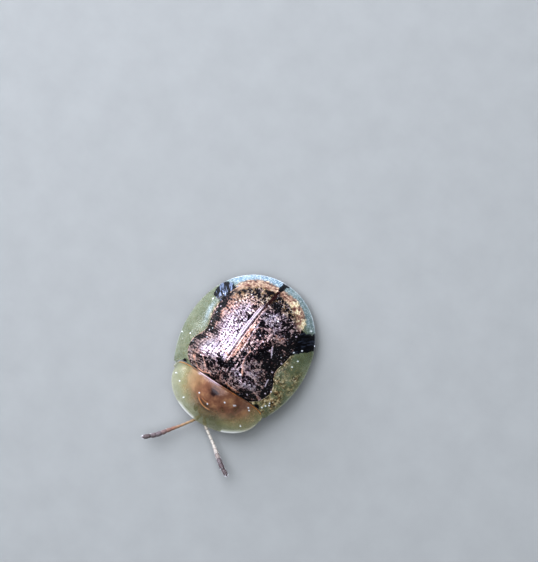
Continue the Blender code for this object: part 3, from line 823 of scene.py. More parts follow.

# Broad tones of each wing case, dark above 0 and light below: x, u, half widths and strength.
# Many light ones are painted highlights, over the sheen and the glints; the dark ones along the
# outer slopes are partly pigment, partly painted shade.
TONES_AND_HIGHLIGHTS = {
    "left": (
        (0.46, 1.17, 0.2, 0.2, 2.6), (1.22, 1.45, 0.2, 0.15, 0.9), (1.1, 1.65, 0.14, 0.13, 0.7),
        (0.38, 2.13, 0.13, 0.17, 2.2), (0.6, 2.52, 0.18, 0.22, 2.0), (1.61, 1.78, 0.28, 0.34, 0.8),
        (1.87, 2.58, 0.32, 0.42, 0.9), (1.74, 3.23, 0.3, 0.4, 0.9), (1.95, 2.05, 0.2, 0.4, 1.3),
        (1.74, 3.8, 0.26, 0.35, 0.9), (2.0, 4.21, 0.24, 0.35, 1.2), (2.15, 4.76, 0.24, 0.36, 1.2),
        (1.75, 5.25, 0.45, 0.15, 1.1), (1.3, 3.02, 0.3, 0.4, 1.1), (1.0, 3.36, 0.3, 0.3, 0.9),
        (0.16, 4.42, 0.22, 0.24, 1.8), (1.18, 4.62, 0.16, 0.16, 0.6), (1.1, 5.45, 0.6, 0.08, 0.9),
        (0.1, 0.72, 0.18, 0.2, 1.0), (0.48, 1.8, 0.24, 0.22, -1.2), (0.5, 1.83, 0.12, 0.1, -1.6),
        (0.9, 1.95, 0.3, 0.2, -0.7), (0.17, 3.1, 0.14, 1.0, -0.9), (1.2, 4.85, 0.4, 0.16, -1.1),
        (0.74, 5.3, 0.24, 0.1, -0.9), (1.84, 5.0, 0.18, 0.13, -0.8), (1.4, 2.27, 0.28, 0.14, -1.0),
        (1.05, 2.5, 0.18, 0.16, -0.7), (0.75, 1.4, 0.34, 0.28, -0.6), (0.7, 4.3, 0.16, 0.5, -0.4),
        (1.0, 4.1, 0.3, 0.2, -0.3), (0.6, 1.45, 0.1, 0.08, -1.5), (1.3, 4.25, 0.2, 0.15, -0.8),
        (0.55, 4.6, 0.2, 0.12, -0.6),
    ),
    "right": (
        (1.9, 1.9, 0.32, 0.42, 0.8), (1.8, 2.6, 0.26, 0.5, 0.8), (1.66, 3.15, 0.24, 0.4, 0.8),
        (1.85, 3.8, 0.24, 0.4, 0.9), (2.05, 4.4, 0.2, 0.5, 0.6), (0.25, 2.11, 0.1, 0.13, 2.4),
        (0.52, 2.53, 0.1, 0.14, 2.2), (0.46, 2.09, 0.09, 0.1, 1.8), (0.67, 1.07, 0.18, 0.15, 1.1),
        (1.09, 1.02, 0.16, 0.12, 0.9), (1.36, 1.17, 0.16, 0.14, 0.9), (1.67, 1.4, 0.22, 0.18, 1.0),
        (0.19, 1.2, 0.13, 0.2, 0.8), (0.3, 0.78, 0.26, 0.13, 0.9), (0.8, 4.65, 0.28, 0.18, 1.1),
        (0.3, 4.28, 0.16, 0.16, 0.9), (0.12, 4.6, 0.2, 0.22, 1.8), (1.19, 5.12, 0.14, 0.12, 0.6),
        (0.7, 5.0, 0.6, 0.25, 0.3), (0.55, 2.9, 0.6, 1.2, -1.3), (1.05, 4.28, 0.45, 0.32, -2.0),
        (0.45, 3.9, 0.35, 0.3, -0.8), (1.0, 1.6, 0.5, 0.28, -0.6), (0.56, 5.27, 0.22, 0.12, -0.8),
        (1.66, 4.97, 0.22, 0.18, -0.5), (0.36, 1.65, 0.12, 0.1, 0.9), (1.5, 2.53, 0.12, 0.12, -0.9),
        (1.45, 3.3, 0.1, 0.14, -0.8),
    ),
}
# Where each wing case gets its painted highlight, a pale silver-pink sheen, and where its copper is
# orange, given in the same way
PAINTED_SHEEN = {
    "left": (
        (0.48, 1.8, 0.26, 0.22, 0.9), (0.8, 1.75, 0.6, 0.45, 0.85), (0.6, 1.42, 0.1, 0.08, 1.0),
        (1.2, 4.75, 0.45, 0.25, 0.8), (0.55, 4.58, 0.25, 0.15, 0.6), (1.32, 4.23, 0.2, 0.15, 0.6),
        (0.8, 4.1, 0.3, 0.5, 0.45),
    ),
    "right": (
        (0.55, 2.9, 0.62, 1.35, 1.0), (1.05, 4.3, 0.42, 0.3, 1.0), (0.4, 3.9, 0.35, 0.4, 0.8),
    ),
}
ORANGE = {
    "left": (
        (0.78, 5.35, 0.3, 0.1, 1.0), (1.76, 5.1, 0.18, 0.14, 1.0), (0.7, 2.2, 0.25, 0.2, 0.5),
        (0.17, 3.1, 0.1, 0.9, 1.0),
    ),
    "right": (
        (0.56, 5.3, 0.25, 0.1, 1.0), (1.5, 4.9, 0.25, 0.25, 0.9), (0.6, 1.6, 0.5, 0.3, 0.6),
        (1.2, 2.2, 0.2, 0.3, 0.8), (1.5, 2.6, 0.16, 0.9, 0.7),
    ),
}

# What else differs between the two sides. A bar is given by its middle at the disc and at the rim,
# and its half widths there. Much of it is painted light: the right side, which faces the key light,
# has a lighter tone, near-white raised lines, more frost-white (partly painted reflection) and a
# brighter white rim, and its bar a blue-grey painted reflection; the glints and the left feeler's
# pale stalk are painted highlights.
LOOKS = {
    "left": {
        "seed": 11,
        "seam_lines": (0.6, 0.0),
        "tan": 0.6,
        "slope_streaks": 0.35,
        "tone": 0.03,
        "shine": 0.7,
        "bronze_u": (1.5, 0.9),
        "disc_cream": 1.0,
        "margin_cream": 0.9,
        "frost": 0.6,
        "waist_reflection": 0.05,
        "lip": 0.7,
        "bar": ((1.6, 2.25), (2.72, 1.55), 0.75, 0.38),
        "bar_end_x": 4.0,
        "bar_gleam": 0.08,
        "mottling_strength": 1.0,
        "feeler_stalk_highlight": 0.68,
    },
    "right": {
        "seed": 23,
        "seam_lines": (1.2, 1.0),
        "tan": 0.0,
        "slope_streaks": 0.7,
        "tone": -0.15,
        "shine": 0.35,
        "bronze_u": (2.5, 1.2),
        "disc_cream": 0.2,
        "margin_cream": 0.15,
        "frost": 1.0,
        "waist_reflection": 0.55,
        "lip": 1.0,
        "bar": ((1.6, 1.75), (2.72, 1.78), 0.56, 0.36),
        "bar_end_x": 2.6,
        "bar_gleam": 0.85,
        "mottling_strength": 0.15,
        "feeler_stalk_highlight": 0.0,
    },
}


def disc_places(along, across):
    """Places on the left disc: along from its base to its rear end, across from suture to edge."""
    edge_x, edge_u = resampled(*disc_edge_line(), along)
    seam_u = NOTCH_TIP_U + (DISC_EDGE[0][1] - NOTCH_TIP_U) * along
    x = SEAM + (edge_x - SEAM) * across
    u = seam_u + (edge_u - seam_u) * across
    corner_x, corner_u = (line[0] for line in disc_edge_line())
    split = 0.3  # share of the front edge that runs beside the scutellum
    beside = np.clip(across / split, 0, 1)
    border_x = np.where(
        across < split,
        SEAM + (NOTCH_HALF_WIDTH - SEAM) * beside,
        NOTCH_HALF_WIDTH + (corner_x - NOTCH_HALF_WIDTH) * (across - split) / (1 - split),
    )
    base_u = pronotum_hind_u(border_x) - BASE_SEAM
    border_u = np.where(across < split, NOTCH_TIP_U + (base_u - NOTCH_TIP_U) * beside, base_u)
    straight_x = SEAM + (corner_x - SEAM) * across
    straight_u = NOTCH_TIP_U + (corner_u - NOTCH_TIP_U) * across
    near = np.clip(1 - along / 0.35, 0, 1) ** 2
    return x + near * (border_x - straight_x), u + near * (border_u - straight_u)


def line_away(x, u, places):
    """Distance of places from a line through several places."""
    away = [segment_away(x, u, start, end) for start, end in zip(places, places[1:])]
    return np.min(away, axis=0)


def blots(x, u, marks):
    """The sum of several soft-edged marks at each place."""
    shade = np.zeros_like(x)
    for at_x, at_u, half_x, half_u, strength in marks:
        away = np.hypot((x - at_x) / half_x, (u - at_u) / half_u)
        shade += strength * smooth(1.7, 0.5, away)
    return shade


def grains_at(x, u, piece):
    """1 on a bright grain and 0 away from them."""
    away = [np.hypot(x - at_x, u - at_u) for at_x, at_u in GRAINS[piece]]
    return smooth(1.5, 0.6, np.min(away, axis=0) / GRAIN_RADIUS)


def punctures(along, across, width, seed):
    """The rows of pits, each a little out of line and of its own size: 1 in a pit's middle."""
    row = across * ROWS
    index = np.floor(row)
    chance = np.random.default_rng(seed + 1).uniform(-1, 1, (3, ROWS + 1, PITS))
    step = along * DISC_LENGTH / PIT_STEP + 0.5 * (index % 2)
    count = np.floor(step)
    at = (index.astype(int) % (ROWS + 1), count.astype(int) % PITS)
    shift, lengthwise, size = (layer[at] for layer in chance)
    dx = (row - index - 0.5 + shift * 0.14) * width / ROWS
    dy = (step - count - 0.5 + lengthwise * 0.2) * PIT_STEP
    radius = np.minimum(PIT_RADIUS, 0.34 * width / ROWS) * (1 + 0.35 * size)
    return np.exp(-(((dx**2 + dy**2) / np.maximum(radius, 0.012) ** 2) ** 1.3)) * (size > -0.7)


def raised_lines(x, u, word, seed):
    """How high the raised lines and grains stand, in RIDGE_HEIGHT, and how tan each place is."""
    ridge = np.zeros_like(x)
    tan = np.full_like(x, LOOKS[word]["tan"])
    wander = 0.025 * value_noise(x, u, 0.2, seed + 2)
    for places, high, half, tint in RIDGES[word]:
        line = high / RIDGE_HEIGHT * bell(line_away(x, u, places) + wander, half)
        tan = np.where(line > np.maximum(ridge, 0.1), tint, tan)
        ridge = np.maximum(ridge, line)
    ridge = ridge * (0.75 + 0.35 * value_noise(x, u, 0.3, seed + 5))
    grain = grains_at(x, u, word)
    return np.maximum(ridge, grain), np.where(grain > 0.1, 0.0, tan)


def disc_sculpture(x, u, along, across, word):
    """Heights over the smooth disc, with how much of each place is of each shade."""
    look = LOOKS[word]
    seed = look["seed"]
    edge_x, edge_u = resampled(*disc_edge_line(), along)
    seam_u = NOTCH_TIP_U + (DISC_EDGE[0][1] - NOTCH_TIP_U) * along
    width = np.hypot(edge_x, edge_u - seam_u)
    ridge, tan = raised_lines(x, u, word, seed)
    first, second = look["seam_lines"]
    seam = first * bell(x, 0.03, 0.075) + second * bell(x, 0.025, 0.16)
    seam = seam * smooth(1.2, 1.7, u) * smooth(4.5, 4.2, u)
    lumps = 0.034 * value_noise(x, u, 0.42, seed + 3) + 0.022 * value_noise(x, u, 0.19, seed + 4)
    slope = smooth(0.35, 0.55, across) * smooth(1.0, 0.92, across) * smooth(1.5, 2.2, u)
    wobble = 0.35 * value_noise(x, u, 0.35, seed + 6)
    rung = np.cos(2 * math.pi * (along * DISC_LENGTH / RUNG_STEP + wobble))
    pit = punctures(along, across, width, seed) * (1 - np.clip(ridge + seam, 0, 1))
    pit = pit * smooth(1.0, 0.93, across) * smooth(0.05, 0.09, across)
    height = lumps + (0.004 + 0.014 * slope) * rung + RIDGE_HEIGHT * ridge + 0.035 * seam
    height = (height - 0.035) * (1 - across**12) - PIT_DEPTH * pit

    streaks = fractal(across * width * 0.3, along * DISC_LENGTH, 0.11, seed + 8, 3)
    mix = slope * look["slope_streaks"]
    marble = 0.3 * value_noise(x, u, 0.28, seed + 9) + 1.4 * fractal(x, u, 0.085, seed + 10, 3)
    pattern = marble * (1 - mix) + (0.9 * streaks - 0.5 * rung) * mix
    # Tones, among them painted highlights and painted shade, plus the side's shift: lighter on the
    # right, towards the key light
    tone = blots(x, u, TONES_AND_HIGHLIGHTS[word]) + look["tone"]
    inward = width * (1 - across)
    # Darker along the disc's outer edge: partly pigment, partly painted shade where it bends down into
    # the margin
    edge_darkening = smooth(0.06, 0.02, inward) * smooth(2.2, 2.8, u)
    uneven = inward + 0.09 * fractal(x, u, 0.22, 3, 3)
    band = smooth(1.65, 1.2, u) * smooth(0.3, 0.12, uneven) * smooth(0.06, 0.2, x)
    # Painted shadow in the gap under the neck shield's hind edge
    gap_shadow = smooth(0.1, 0.03, pronotum_hind_u(x) - BASE_SEAM - u) * smooth(1.5, 0.6, x)
    black = np.clip(0.4 + 0.5 * pattern + 0.34 * tone + 0.15 * edge_darkening + 0.7 * gap_shadow, 0, 1)
    # Painted highlights: the pale sheen and the glint specks
    pale = np.clip(blots(x, u, PAINTED_SHEEN[word]), 0, 1) * (0.8 + 0.3 * fractal(x, u, 0.15, seed + 60, 2))
    glint = smooth(0.35, 0.85, fractal(x, u, 0.1, seed + 40, 2))
    cream = smooth(-0.3, 0.4, fractal(x, u, 0.2, seed + 41, 2)) * smooth(0.4, 0.8, x)
    shine = look["shine"] + 0.3 * smooth(4.4, 4.7, u)
    suture = smooth(1.0, 0.5, x / (0.05 + 0.05 * smooth(1.9, 1.3, u)))
    shades = {
        "pit": pit * (1 - 0.9 * band),
        "ridge": np.clip(ridge + seam, 0, 1),
        "black": black * (1 - band) * (1 - 0.8 * seam),
        "gold": smooth(*look["bronze_u"], u),
        # Painted highlights: the pale sheen here, the glint specks below
        "pale": np.clip(0.85 * pale + glint * (0.3 + 0.4 * pale), 0, 1),
        "orange": np.clip(blots(x, u, ORANGE[word]), 0, 1),
        "band": band,
        "cream": cream * look["disc_cream"],
        "rust": suture * smooth(4.5, 4.2, u) * (0.5 + 0.5 * smooth(2.0, 1.4, u)),
        "tan": tan,
        "glint": shine * (1 - 0.75 * black**2),
    }
    return height, shades


def make_disc(word, side):
    sheet, along, across = grid_sheet(f"wing_case_disc_{word}", 330, 132)
    x, u = disc_places(along, across)
    height, shades = disc_sculpture(x, u, along, across, word)
    move_points(sheet, placed(side * x, u, wing_case_height(x, u) + height))
    for name, values in shades.items():
        paint(sheet, name, values)
    merged(sheet)
    facing_up(sheet)
    thickened(sheet, CUTICLE)
    settle(sheet, MATERIALS["copper"], "wing_case", f"elytron_{word}")


def margin_places(along, across):
    """Places on the left margin: along from the shoulder to the rear tip, across outwards."""
    edge_x, edge_u = resampled(*disc_edge_line(), along)
    out_x, out_u = resampled(*rim_line(), along)
    out_x = np.maximum(out_x, SEAM)
    edge_x = np.maximum(edge_x, SEAM)
    x = edge_x + (out_x - edge_x) * across
    u = edge_u + (out_u - edge_u) * across
    near = np.clip(1 - along / 0.12, 0, 1) ** 2
    first_x, first_u = (line[0] for line in disc_edge_line())
    last_x, last_u = (line[0] for line in rim_line())
    border_x = first_x + (last_x - first_x) * across
    border_u = np.minimum(pronotum_hind_u(border_x) - BASE_SEAM, last_u)
    straight_u = first_u + (last_u - first_u) * across
    return x, u + near * (border_u - straight_u)


TAIL_BAR_HALF = 0.16


def bar_share(x, u, word):
    """1 on the black bar of that side's margin and 0 away from it."""
    start, end, near_half, far_half = LOOKS[word]["bar"]
    along = np.clip((x - start[0]) / (end[0] - start[0]), 0, 1)
    half = near_half + (far_half - near_half) * along
    shape = smooth(1.45, 0.55, np.abs(u - start[1] - (end[1] - start[1]) * along) / half)
    return shape * smooth(0.12, -0.08, x - LOOKS[word]["bar_end_x"])


def make_margin(word, side):
    look = LOOKS[word]
    sheet, along, across = grid_sheet(f"wing_case_margin_{word}", 300, 44)
    x, u = margin_places(along, across)
    drop = RIM_DROP * across**1.6
    edge_x, edge_u = resampled(*disc_edge_line(), along)
    out_x, out_u = resampled(*rim_line(), along)
    width = np.hypot(out_x - edge_x, out_u - edge_u)
    ripple = 0.006 * value_noise(x, u, 0.16, 5) * smooth(0.0, 0.3, across) * smooth(1.0, 0.9, across)
    move_points(sheet, placed(side * x, u, wing_case_height(x, u) - drop + ripple))
    rear = smooth(1.7, 0.9, u)
    paint(sheet, "inner", smooth(0.1 + 0.3 * rear, 0.0, across * width) * (0.75 + 0.35 * rear))
    torn = value_noise(x, u, 0.07, 57)
    corner = smooth(1.3, 0.7, np.hypot(x - 1.98, u - 5.42) / 0.1 + 0.4 * torn)
    tail_half = TAIL_BAR_HALF * np.maximum(1.15 - 1.3 * u, 0.45)
    tail = smooth(1.4, 0.6, x / tail_half + 0.45 * torn) * smooth(0.9, 0.7, u)
    paint(sheet, "bar", np.maximum(np.maximum(bar_share(x, u, word), tail), corner))
    # Frost-white behind, partly painted reflection; the patch at the waist beside the disc is painted
    # reflection
    waist = bell(u, 0.6, 2.9) * bell(across * width, 0.13, 0.28)
    frost = rear * smooth(0.1, 0.5, across) * look["frost"]
    paint(sheet, "frost", np.clip(frost + look["waist_reflection"] * waist, 0, 1))
    # Painted highlight: a white line along the rim, uneven along it, with the pale specks added
    thin = (0.65 + 0.3 * np.cos((u - 0.5) * 1.4)) * smooth(0.0, 0.05, along)
    thin = thin * (0.8 + 0.3 * value_noise(x, u, 0.5, 55)) * look["lip"]
    edge = smooth(0.055, 0.0, (1 - across) * width) * thin
    paint(sheet, "lip", np.maximum(edge, 1.4 * grains_at(x, u, word)))
    # Painted reflection: blue-grey streaks on the bar
    streaks = fractal(across * width * 0.3, along * 8.0, 0.09, 51, 3)
    gleam = smooth(0.05, 0.75, streaks) * (1 - tail) * (1 - corner)
    paint(sheet, "gleam", gleam * look["bar_gleam"])
    # Darker brown mottling over the front of the margin, strongest on the left side
    mottling_strength = (0.6 + 0.5 * fractal(x, u, 0.22, 53)) * look["mottling_strength"]
    mottled = smooth(2.6, 3.6, u) * smooth(1.25, 0.5, across) * mottling_strength
    mottled += 0.6 * bell(u, 0.45, 2.8) * smooth(0.22, 0.1, across * width)
    paint(sheet, "soil", np.clip(mottled, 0, 1))
    cream = smooth(-0.1, 0.25, fractal(x, u, 0.2, 58, 3)) * smooth(0.4, 0.8, x)
    paint(sheet, "cream", cream * look["margin_cream"])
    merged(sheet)
    facing_up(sheet)
    thickened(sheet, CUTICLE * 0.8)
    settle(sheet, MATERIALS["clear"], "wing_case")


def make_pronotum():
    """The neck shield, with a raised hem along its hind edge."""
    sheet, a, b = grid_sheet("pronotum_shield", 170, 150)
    square_x, square_y = 2 * a - 1, 2 * b - 1
    unit_x = square_x * np.sqrt(1 - square_y**2 / 2)
    unit_y = square_y * np.sqrt(1 - square_x**2 / 2)
    reach = np.hypot(unit_x, unit_y)
    turn = np.arctan2(unit_y, unit_x)
    sine, cosine = np.sin(turn), np.cos(turn)
    front = sine >= 0
    edge_x = np.where(front, cosine, np.sign(cosine) * np.abs(cosine) ** (2 / PRONOTUM_BACK_POWER))
    edge_back = PRONOTUM_BACK * np.abs(sine) ** (2 / PRONOTUM_BACK_POWER)
    edge_u = np.where(front, PRONOTUM_REACH * sine, -edge_back)
    x = PRONOTUM_HALF_WIDTH * edge_x * reach
    u = PRONOTUM_WIDEST_U + edge_u * reach
    outward_share = np.clip(pronotum_outwardness(x, u), 0, 1)
    behind = u - pronotum_hind_u(x)
    drop = RIM_DROP * outward_share**4 * smooth(0.0, 0.5, behind + 0.25)
    hem = bell(behind, 0.032, 0.04) * smooth(1.0, 0.96, np.abs(x) / PRONOTUM_HALF_WIDTH)
    lumps = 0.012 * value_noise(x, u, 0.35, 31) * (1 - outward_share**6)
    wander = 0.02 * value_noise(x, u, 0.3, 33)
    outer = np.hypot(x - 0.1, u - 5.9) - 0.82 + wander
    inner = np.hypot(x + 0.05, u - 5.8) - 0.68 + wander
    crease = bell(outer, 0.026) * smooth(-0.5, -0.38, x) * smooth(0.34, 0.2, x)
    crease += 0.7 * bell(inner, 0.02) * smooth(-0.34, -0.25, x) * smooth(0.2, 0.1, x)
    crease = crease * smooth(6.2, 6.35, u)
    umber = 0.6 * bell(outer, 0.06, 0.09) + 0.6 * bell(outer, 0.05, -0.08)
    umber = umber * smooth(-0.5, -0.3, x) * smooth(0.6, 0.3, x) * smooth(6.3, 6.45, u)
    height = pronotum_height(x, u) - drop + 0.035 * hem + 0.03 * crease + lumps
    move_points(sheet, placed(0.98 * x + 0.045, u, height))
    stain_reach = np.where(x > 0, 2.6, 2.1)
    stain = (np.abs(x / stain_reach) ** 2.3 + (np.maximum(u - 5.4, 0) / 1.8) ** 2.3) ** (1 / 2.3)
    paint(sheet, "middle", smooth(1.15, 0.5, stain))
    paint(sheet, "olive", smooth(-0.3, -1.3, x) + 0.5 * smooth(6.5, 7.1, u) * smooth(0.5, 1.0, x))
    paint(sheet, "hem", hem)
    paint(sheet, "crease", 0.7 * crease)
    # Painted highlight: pink-white along the middle of the hem, and a sheen behind it
    blush = smooth(-1.2, -0.9, x) * smooth(0.3, 0.0, x)
    paint(sheet, "blush", blush)
    bright = smooth(1.45, 1.8, np.abs(x)) + 0.8 * bell(x, 0.3, 1.0)
    paint(sheet, "bright", np.clip(bright * (0.8 + 0.4 * value_noise(x, u, 0.15, 37)), 0, 1))
    sheen = bell(behind, 0.05, 0.09) * blush
    paint(sheet, "sheen", np.clip(sheen * (0.45 + 0.5 * fractal(x, u, 0.2, 71, 3)), 0, 1))
    paint(sheet, "depth", 0.54 - 0.22 * smooth(6.4, 6.9, u) * smooth(0.9, 0.6, np.abs(x)))
    # Painted highlight: white along the front rim, wider along two stretches and faint across the front
    # middle
    rim = (1 - reach) * np.where(front, 1.6, 0.0) + np.where(front, 0.0, 1.0)
    shine = smooth(-1.5, -1.1, x) * smooth(-0.1, -0.4, x) + smooth(1.05, 1.15, x) * smooth(2.3, 1.6, x)
    lit = (0.4 + 0.6 * shine) * (1 - 0.7 * smooth(-0.4, -0.2, x) * smooth(1.15, 1.0, x))
    paint(sheet, "lip", smooth(0.06 + 0.09 * shine, 0.0, rim) * smooth(5.96, 6.25, u) * lit)
    ragged = 1.0 + 1.1 * value_noise(x, u, 0.09, 35)
    spot = bell(np.hypot(x - 0.1, u - 5.86), 0.24) * ragged
    # Dark spots; the band across the clear front is painted shade
    spot += umber + 0.4 * smooth(6.85, 7.15, u) * smooth(-0.5, 0.0, x) * smooth(1.3, 0.9, x)
    spot += 0.55 * bell(np.hypot((x - 0.06) / 1.6, u - 6.56), 0.05)
    spot += 0.3 * bell(np.hypot((x - 0.6) / 1.5, u - 6.92), 0.1)
    paint(sheet, "spot", np.clip(spot, 0, 1))
    paint(sheet, "grain", grains_at(x, u, "shield"))
    facing_up(sheet)
    thickened(sheet, CUTICLE)
    settle(sheet, MATERIALS["amber"], "neck_shield", "pronotum")


def make_scutellum():
    """The small triangular plate between the wing cases' bases."""
    sheet, a, b = grid_sheet("scutellum_plate", 40, 40)
    front_u = pronotum_hind_u(0.0) - BASE_SEAM
    tip_u = NOTCH_TIP_U + 0.03
    half = (NOTCH_HALF_WIDTH - 0.02) * (b**0.8)
    x = (2 * a - 1) * half
    u = tip_u + (front_u - tip_u) * b
    crown = 0.03 * (1 - (2 * a - 1) ** 4) * np.sin(math.pi * np.clip(b, 0.02, 0.98))
    move_points(sheet, placed(x, u, wing_case_height(x, u) - 0.03 + crown))
    for name in "pit ridge gold pale band cream rust tan glint".split():
        paint(sheet, name, np.zeros_like(x))
    paint(sheet, "orange", np.full_like(x, 0.4))
    paint(sheet, "black", 0.45 + 0.3 * fractal(x, u, 0.2, 61))
    merged(sheet)
    facing_up(sheet)
    thickened(sheet, CUTICLE)
    settle(sheet, MATERIALS["copper"], "wing_case", "scutellum")


# The body under the shell

SHIELD_FROM_U = 5.4  # the neck shield covers the body from here forwards
BELOW_SHELL = 0.14  # how far the body stays under the shell's upper face


def make_body():
    """Underside of the thorax and abdomen, within the shell."""

    def roofed(form):
        points = points_of(form)
        x, u = points[:, 0], REAR_Y - points[:, 1]
        shell = np.where(u > SHIELD_FROM_U, pronotum_height(x, u), wing_case_height(x, u))
        points[:, 2] = np.minimum(points[:, 2], shell - BELOW_SHELL)
        move_points(form, points)

    abdomen = spindle(
        "abdomen_rings",
        ((0, 0.75, 0.95), (0, 1.4, 1.2), (0, 2.3, 1.45), (0, 3.25, 1.6)),
        (0.75, 1.35, 1.62, 1.7, 1.7),
        (0.22, 0.38, 0.5, 0.6, 0.6),
        64,
        60,
        3.0,
    )
    points = points_of(abdomen)
    u = REAR_Y - points[:, 1]
    under = points[:, 2] < 1.3
    phase = np.clip((u - 0.9) / 2.1, 0, 0.999) * 5
    step = 0.05 * (phase - np.floor(phase)) ** 6
    points[:, 2] += np.where(under, step, 0)
    points[:, 2] += 0.05 * (np.abs(points[:, 0]) / 1.6) ** 2 * under
    move_points(abdomen, points)
    roofed(abdomen)
    settle(abdomen, MATERIALS["underside"], "underside", "abdomen")

    thorax = spindle(
        "thorax_plates",
        ((0, 3.2, 1.55), (0, 4.2, 1.65), (0, 5.3, 1.5)),
        (1.7, 1.75, 1.72, 1.6, 1.45),
        (0.6, 0.62, 0.6, 0.5, 0.42),
        64,
        48,
        5.0,
    )
    points = points_of(thorax)
    x, u = points[:, 0], REAR_Y - points[:, 1]
    under = points[:, 2] < 1.4
    groove = 0.05 * bell(x, 0.05) + 0.05 * bell(u, 0.05, 4.35)
    points[:, 2] += np.where(under, groove, 0)
    move_points(thorax, points)
    roofed(thorax)
    settle(thorax, MATERIALS["underside"], "underside", "thorax")

    prothorax = spindle(
        "prothorax_plate",
        ((0, 5.42, 1.35), (0, 5.9, 1.3), (0, 6.5, 1.15)),
        (1.15, 1.2, 1.05, 0.7),
        (0.34, 0.36, 0.32, 0.26),
        48,
        32,
        5.0,
    )
    roofed(prothorax)
    settle(prothorax, MATERIALS["limb"], "underside", "prothorax")


# The head


def make_head():
    skull = ball("skull", 0, 6.85, 0.76, (0.42, 0.36, 0.33), 40, 28)
    points = points_of(skull)
    x, u, z = points[:, 0], REAR_Y - points[:, 1], points[:, 2]
    points[:, 1] += 0.05 * bell(x, 0.06) * smooth(6.9, 7.15, u)
    points[:, 2] += 0.03 * bell(u, 0.12, 7.05) * smooth(0.8, 1.0, z)
    move_points(skull, points)
    face = ball("face", 0, 7.03, 0.54, (0.22, 0.14, 0.2), 28, 18)
    lip = ball("lip", 0, 6.97, 0.36, (0.14, 0.07, 0.08), 24, 14)
    pieces = [skull, face, lip]
    for side in (-1, 1):
        pieces.append(
            spindle(
                "jaw",
                ((side * 0.15, 6.92, 0.48), (side * 0.16, 6.96, 0.36), (side * 0.05, 7.0, 0.28)),
                (0.07, 0.08, 0.05, 0.02),
                (0.06, 0.06, 0.05, 0.02),
            )
        )
        palp = ((side * 0.17, 6.82, 0.46), (side * 0.24, 6.88, 0.34), (side * 0.2, 6.98, 0.24))
        halves = (0.035, 0.045, 0.03, 0.045, 0.02)
        pieces.append(spindle("palp", palp, halves, halves))
        pieces.append(ball("socket", side * 0.1, 7.17, 0.68, (0.09, 0.06, 0.09), 20, 12))
    head = joined("head_capsule", pieces)
    settle(head, MATERIALS["limb"], "head", "head")


def make_eyes():
    """Compound eyes: each face of a fine ball is drawn in and raised as a lens."""
    for name, side, node in (("eye_lens_left", 1, "eye_left"), ("eye_lens_right", -1, "eye_right")):
        deselect()
        bpy.ops.mesh.primitive_ico_sphere_add(subdivisions=4, radius=1)
        eye = newest(name)
        middle = (side * 0.42, REAR_Y - 6.94, 0.8)
        move_points(eye, points_of(eye) * np.array((0.15, 0.2, 0.23)) + middle)
        bpy.ops.object.mode_set(mode="EDIT")
        bpy.ops.mesh.select_all(action="SELECT")
        bpy.ops.mesh.inset(thickness=0.004, depth=0.0, use_individual=True)
        bpy.ops.mesh.poke(offset=0.004)
        bpy.ops.object.mode_set(mode="OBJECT")
        settle(eye, MATERIALS["eye"], "eye", node, angle=60)


# Feelers and legs

FEELERS = {
    "left": (
        (0.1, 7.16, 0.68), (0.32, 7.45, 0.6), (1.1, 8.0, 0.48),
        (1.66, 8.42, 0.5), (2.03, 8.67, 0.55), (2.49, 8.9, 0.6),
    ),
    "right": (
        (-0.1, 7.16, 0.68), (-0.22, 7.47, 0.6), (-0.62, 8.05, 0.49),
        (-1.0, 8.54, 0.48), (-1.38, 9.05, 0.54), (-1.9, 9.53, 0.62),
    ),
}
# Length share, half thickness at the root and at the tip of each segment
FEELER_SEGMENTS = (
    (1.5, 0.07, 0.085), (0.75, 0.062, 0.07), (0.95, 0.055, 0.064), (0.95, 0.056, 0.066),
    (0.95, 0.06, 0.07), (0.8, 0.066, 0.082), (0.95, 0.08, 0.1), (0.95, 0.094, 0.114),
    (0.95, 0.106, 0.12), (0.95, 0.108, 0.118), (1.75, 0.108, 0.02),
)
# The hairs and bristles are coarser than real ones, so that they show
HAIR_LENGTH = 0.055
HAIR_HALF = 0.005
CLUB_HAIRS = 110  # on each segment of the club
STALK_HAIRS = 16
FIRST_CLUB_SEGMENT = 6
BRISTLE_LENGTH = 0.08
BRISTLES = 70  # on each shin


def hairs(name, places, length, half):
    """Short tapered hairs: one three-sided cone, and a copy with its own mesh at each root."""
    deselect()
    bpy.ops.mesh.primitive_cone_add(vertices=3, radius1=half, radius2=0, depth=length)
    cone = bpy.context.object
    cone.data.transform(Matrix.Translation((0, 0, length / 2)))
    copies = []
    for root, direction in places:
        hair = bpy.data.objects.new(name, cone.data.copy())
        turn = Vector((0, 0, 1)).rotation_difference(direction).to_matrix().to_4x4()
        hair.data.transform(Matrix.Translation(root) @ turn)
        bpy.context.scene.collection.objects.link(hair)
        copies.append(hair)
    bpy.data.objects.remove(cone)
    return copies


def mark_segment(piece, along, joint, bleach, hair):
    """Paints how far along the feeler a piece is, its dark joint, its painted highlight and if it is
    hair.
    """
    for name, value in (("along", along), ("joint", joint), ("bleach", bleach), ("hair", hair)):
        paint(piece, name, np.broadcast_to(value, len(piece.data.vertices)))


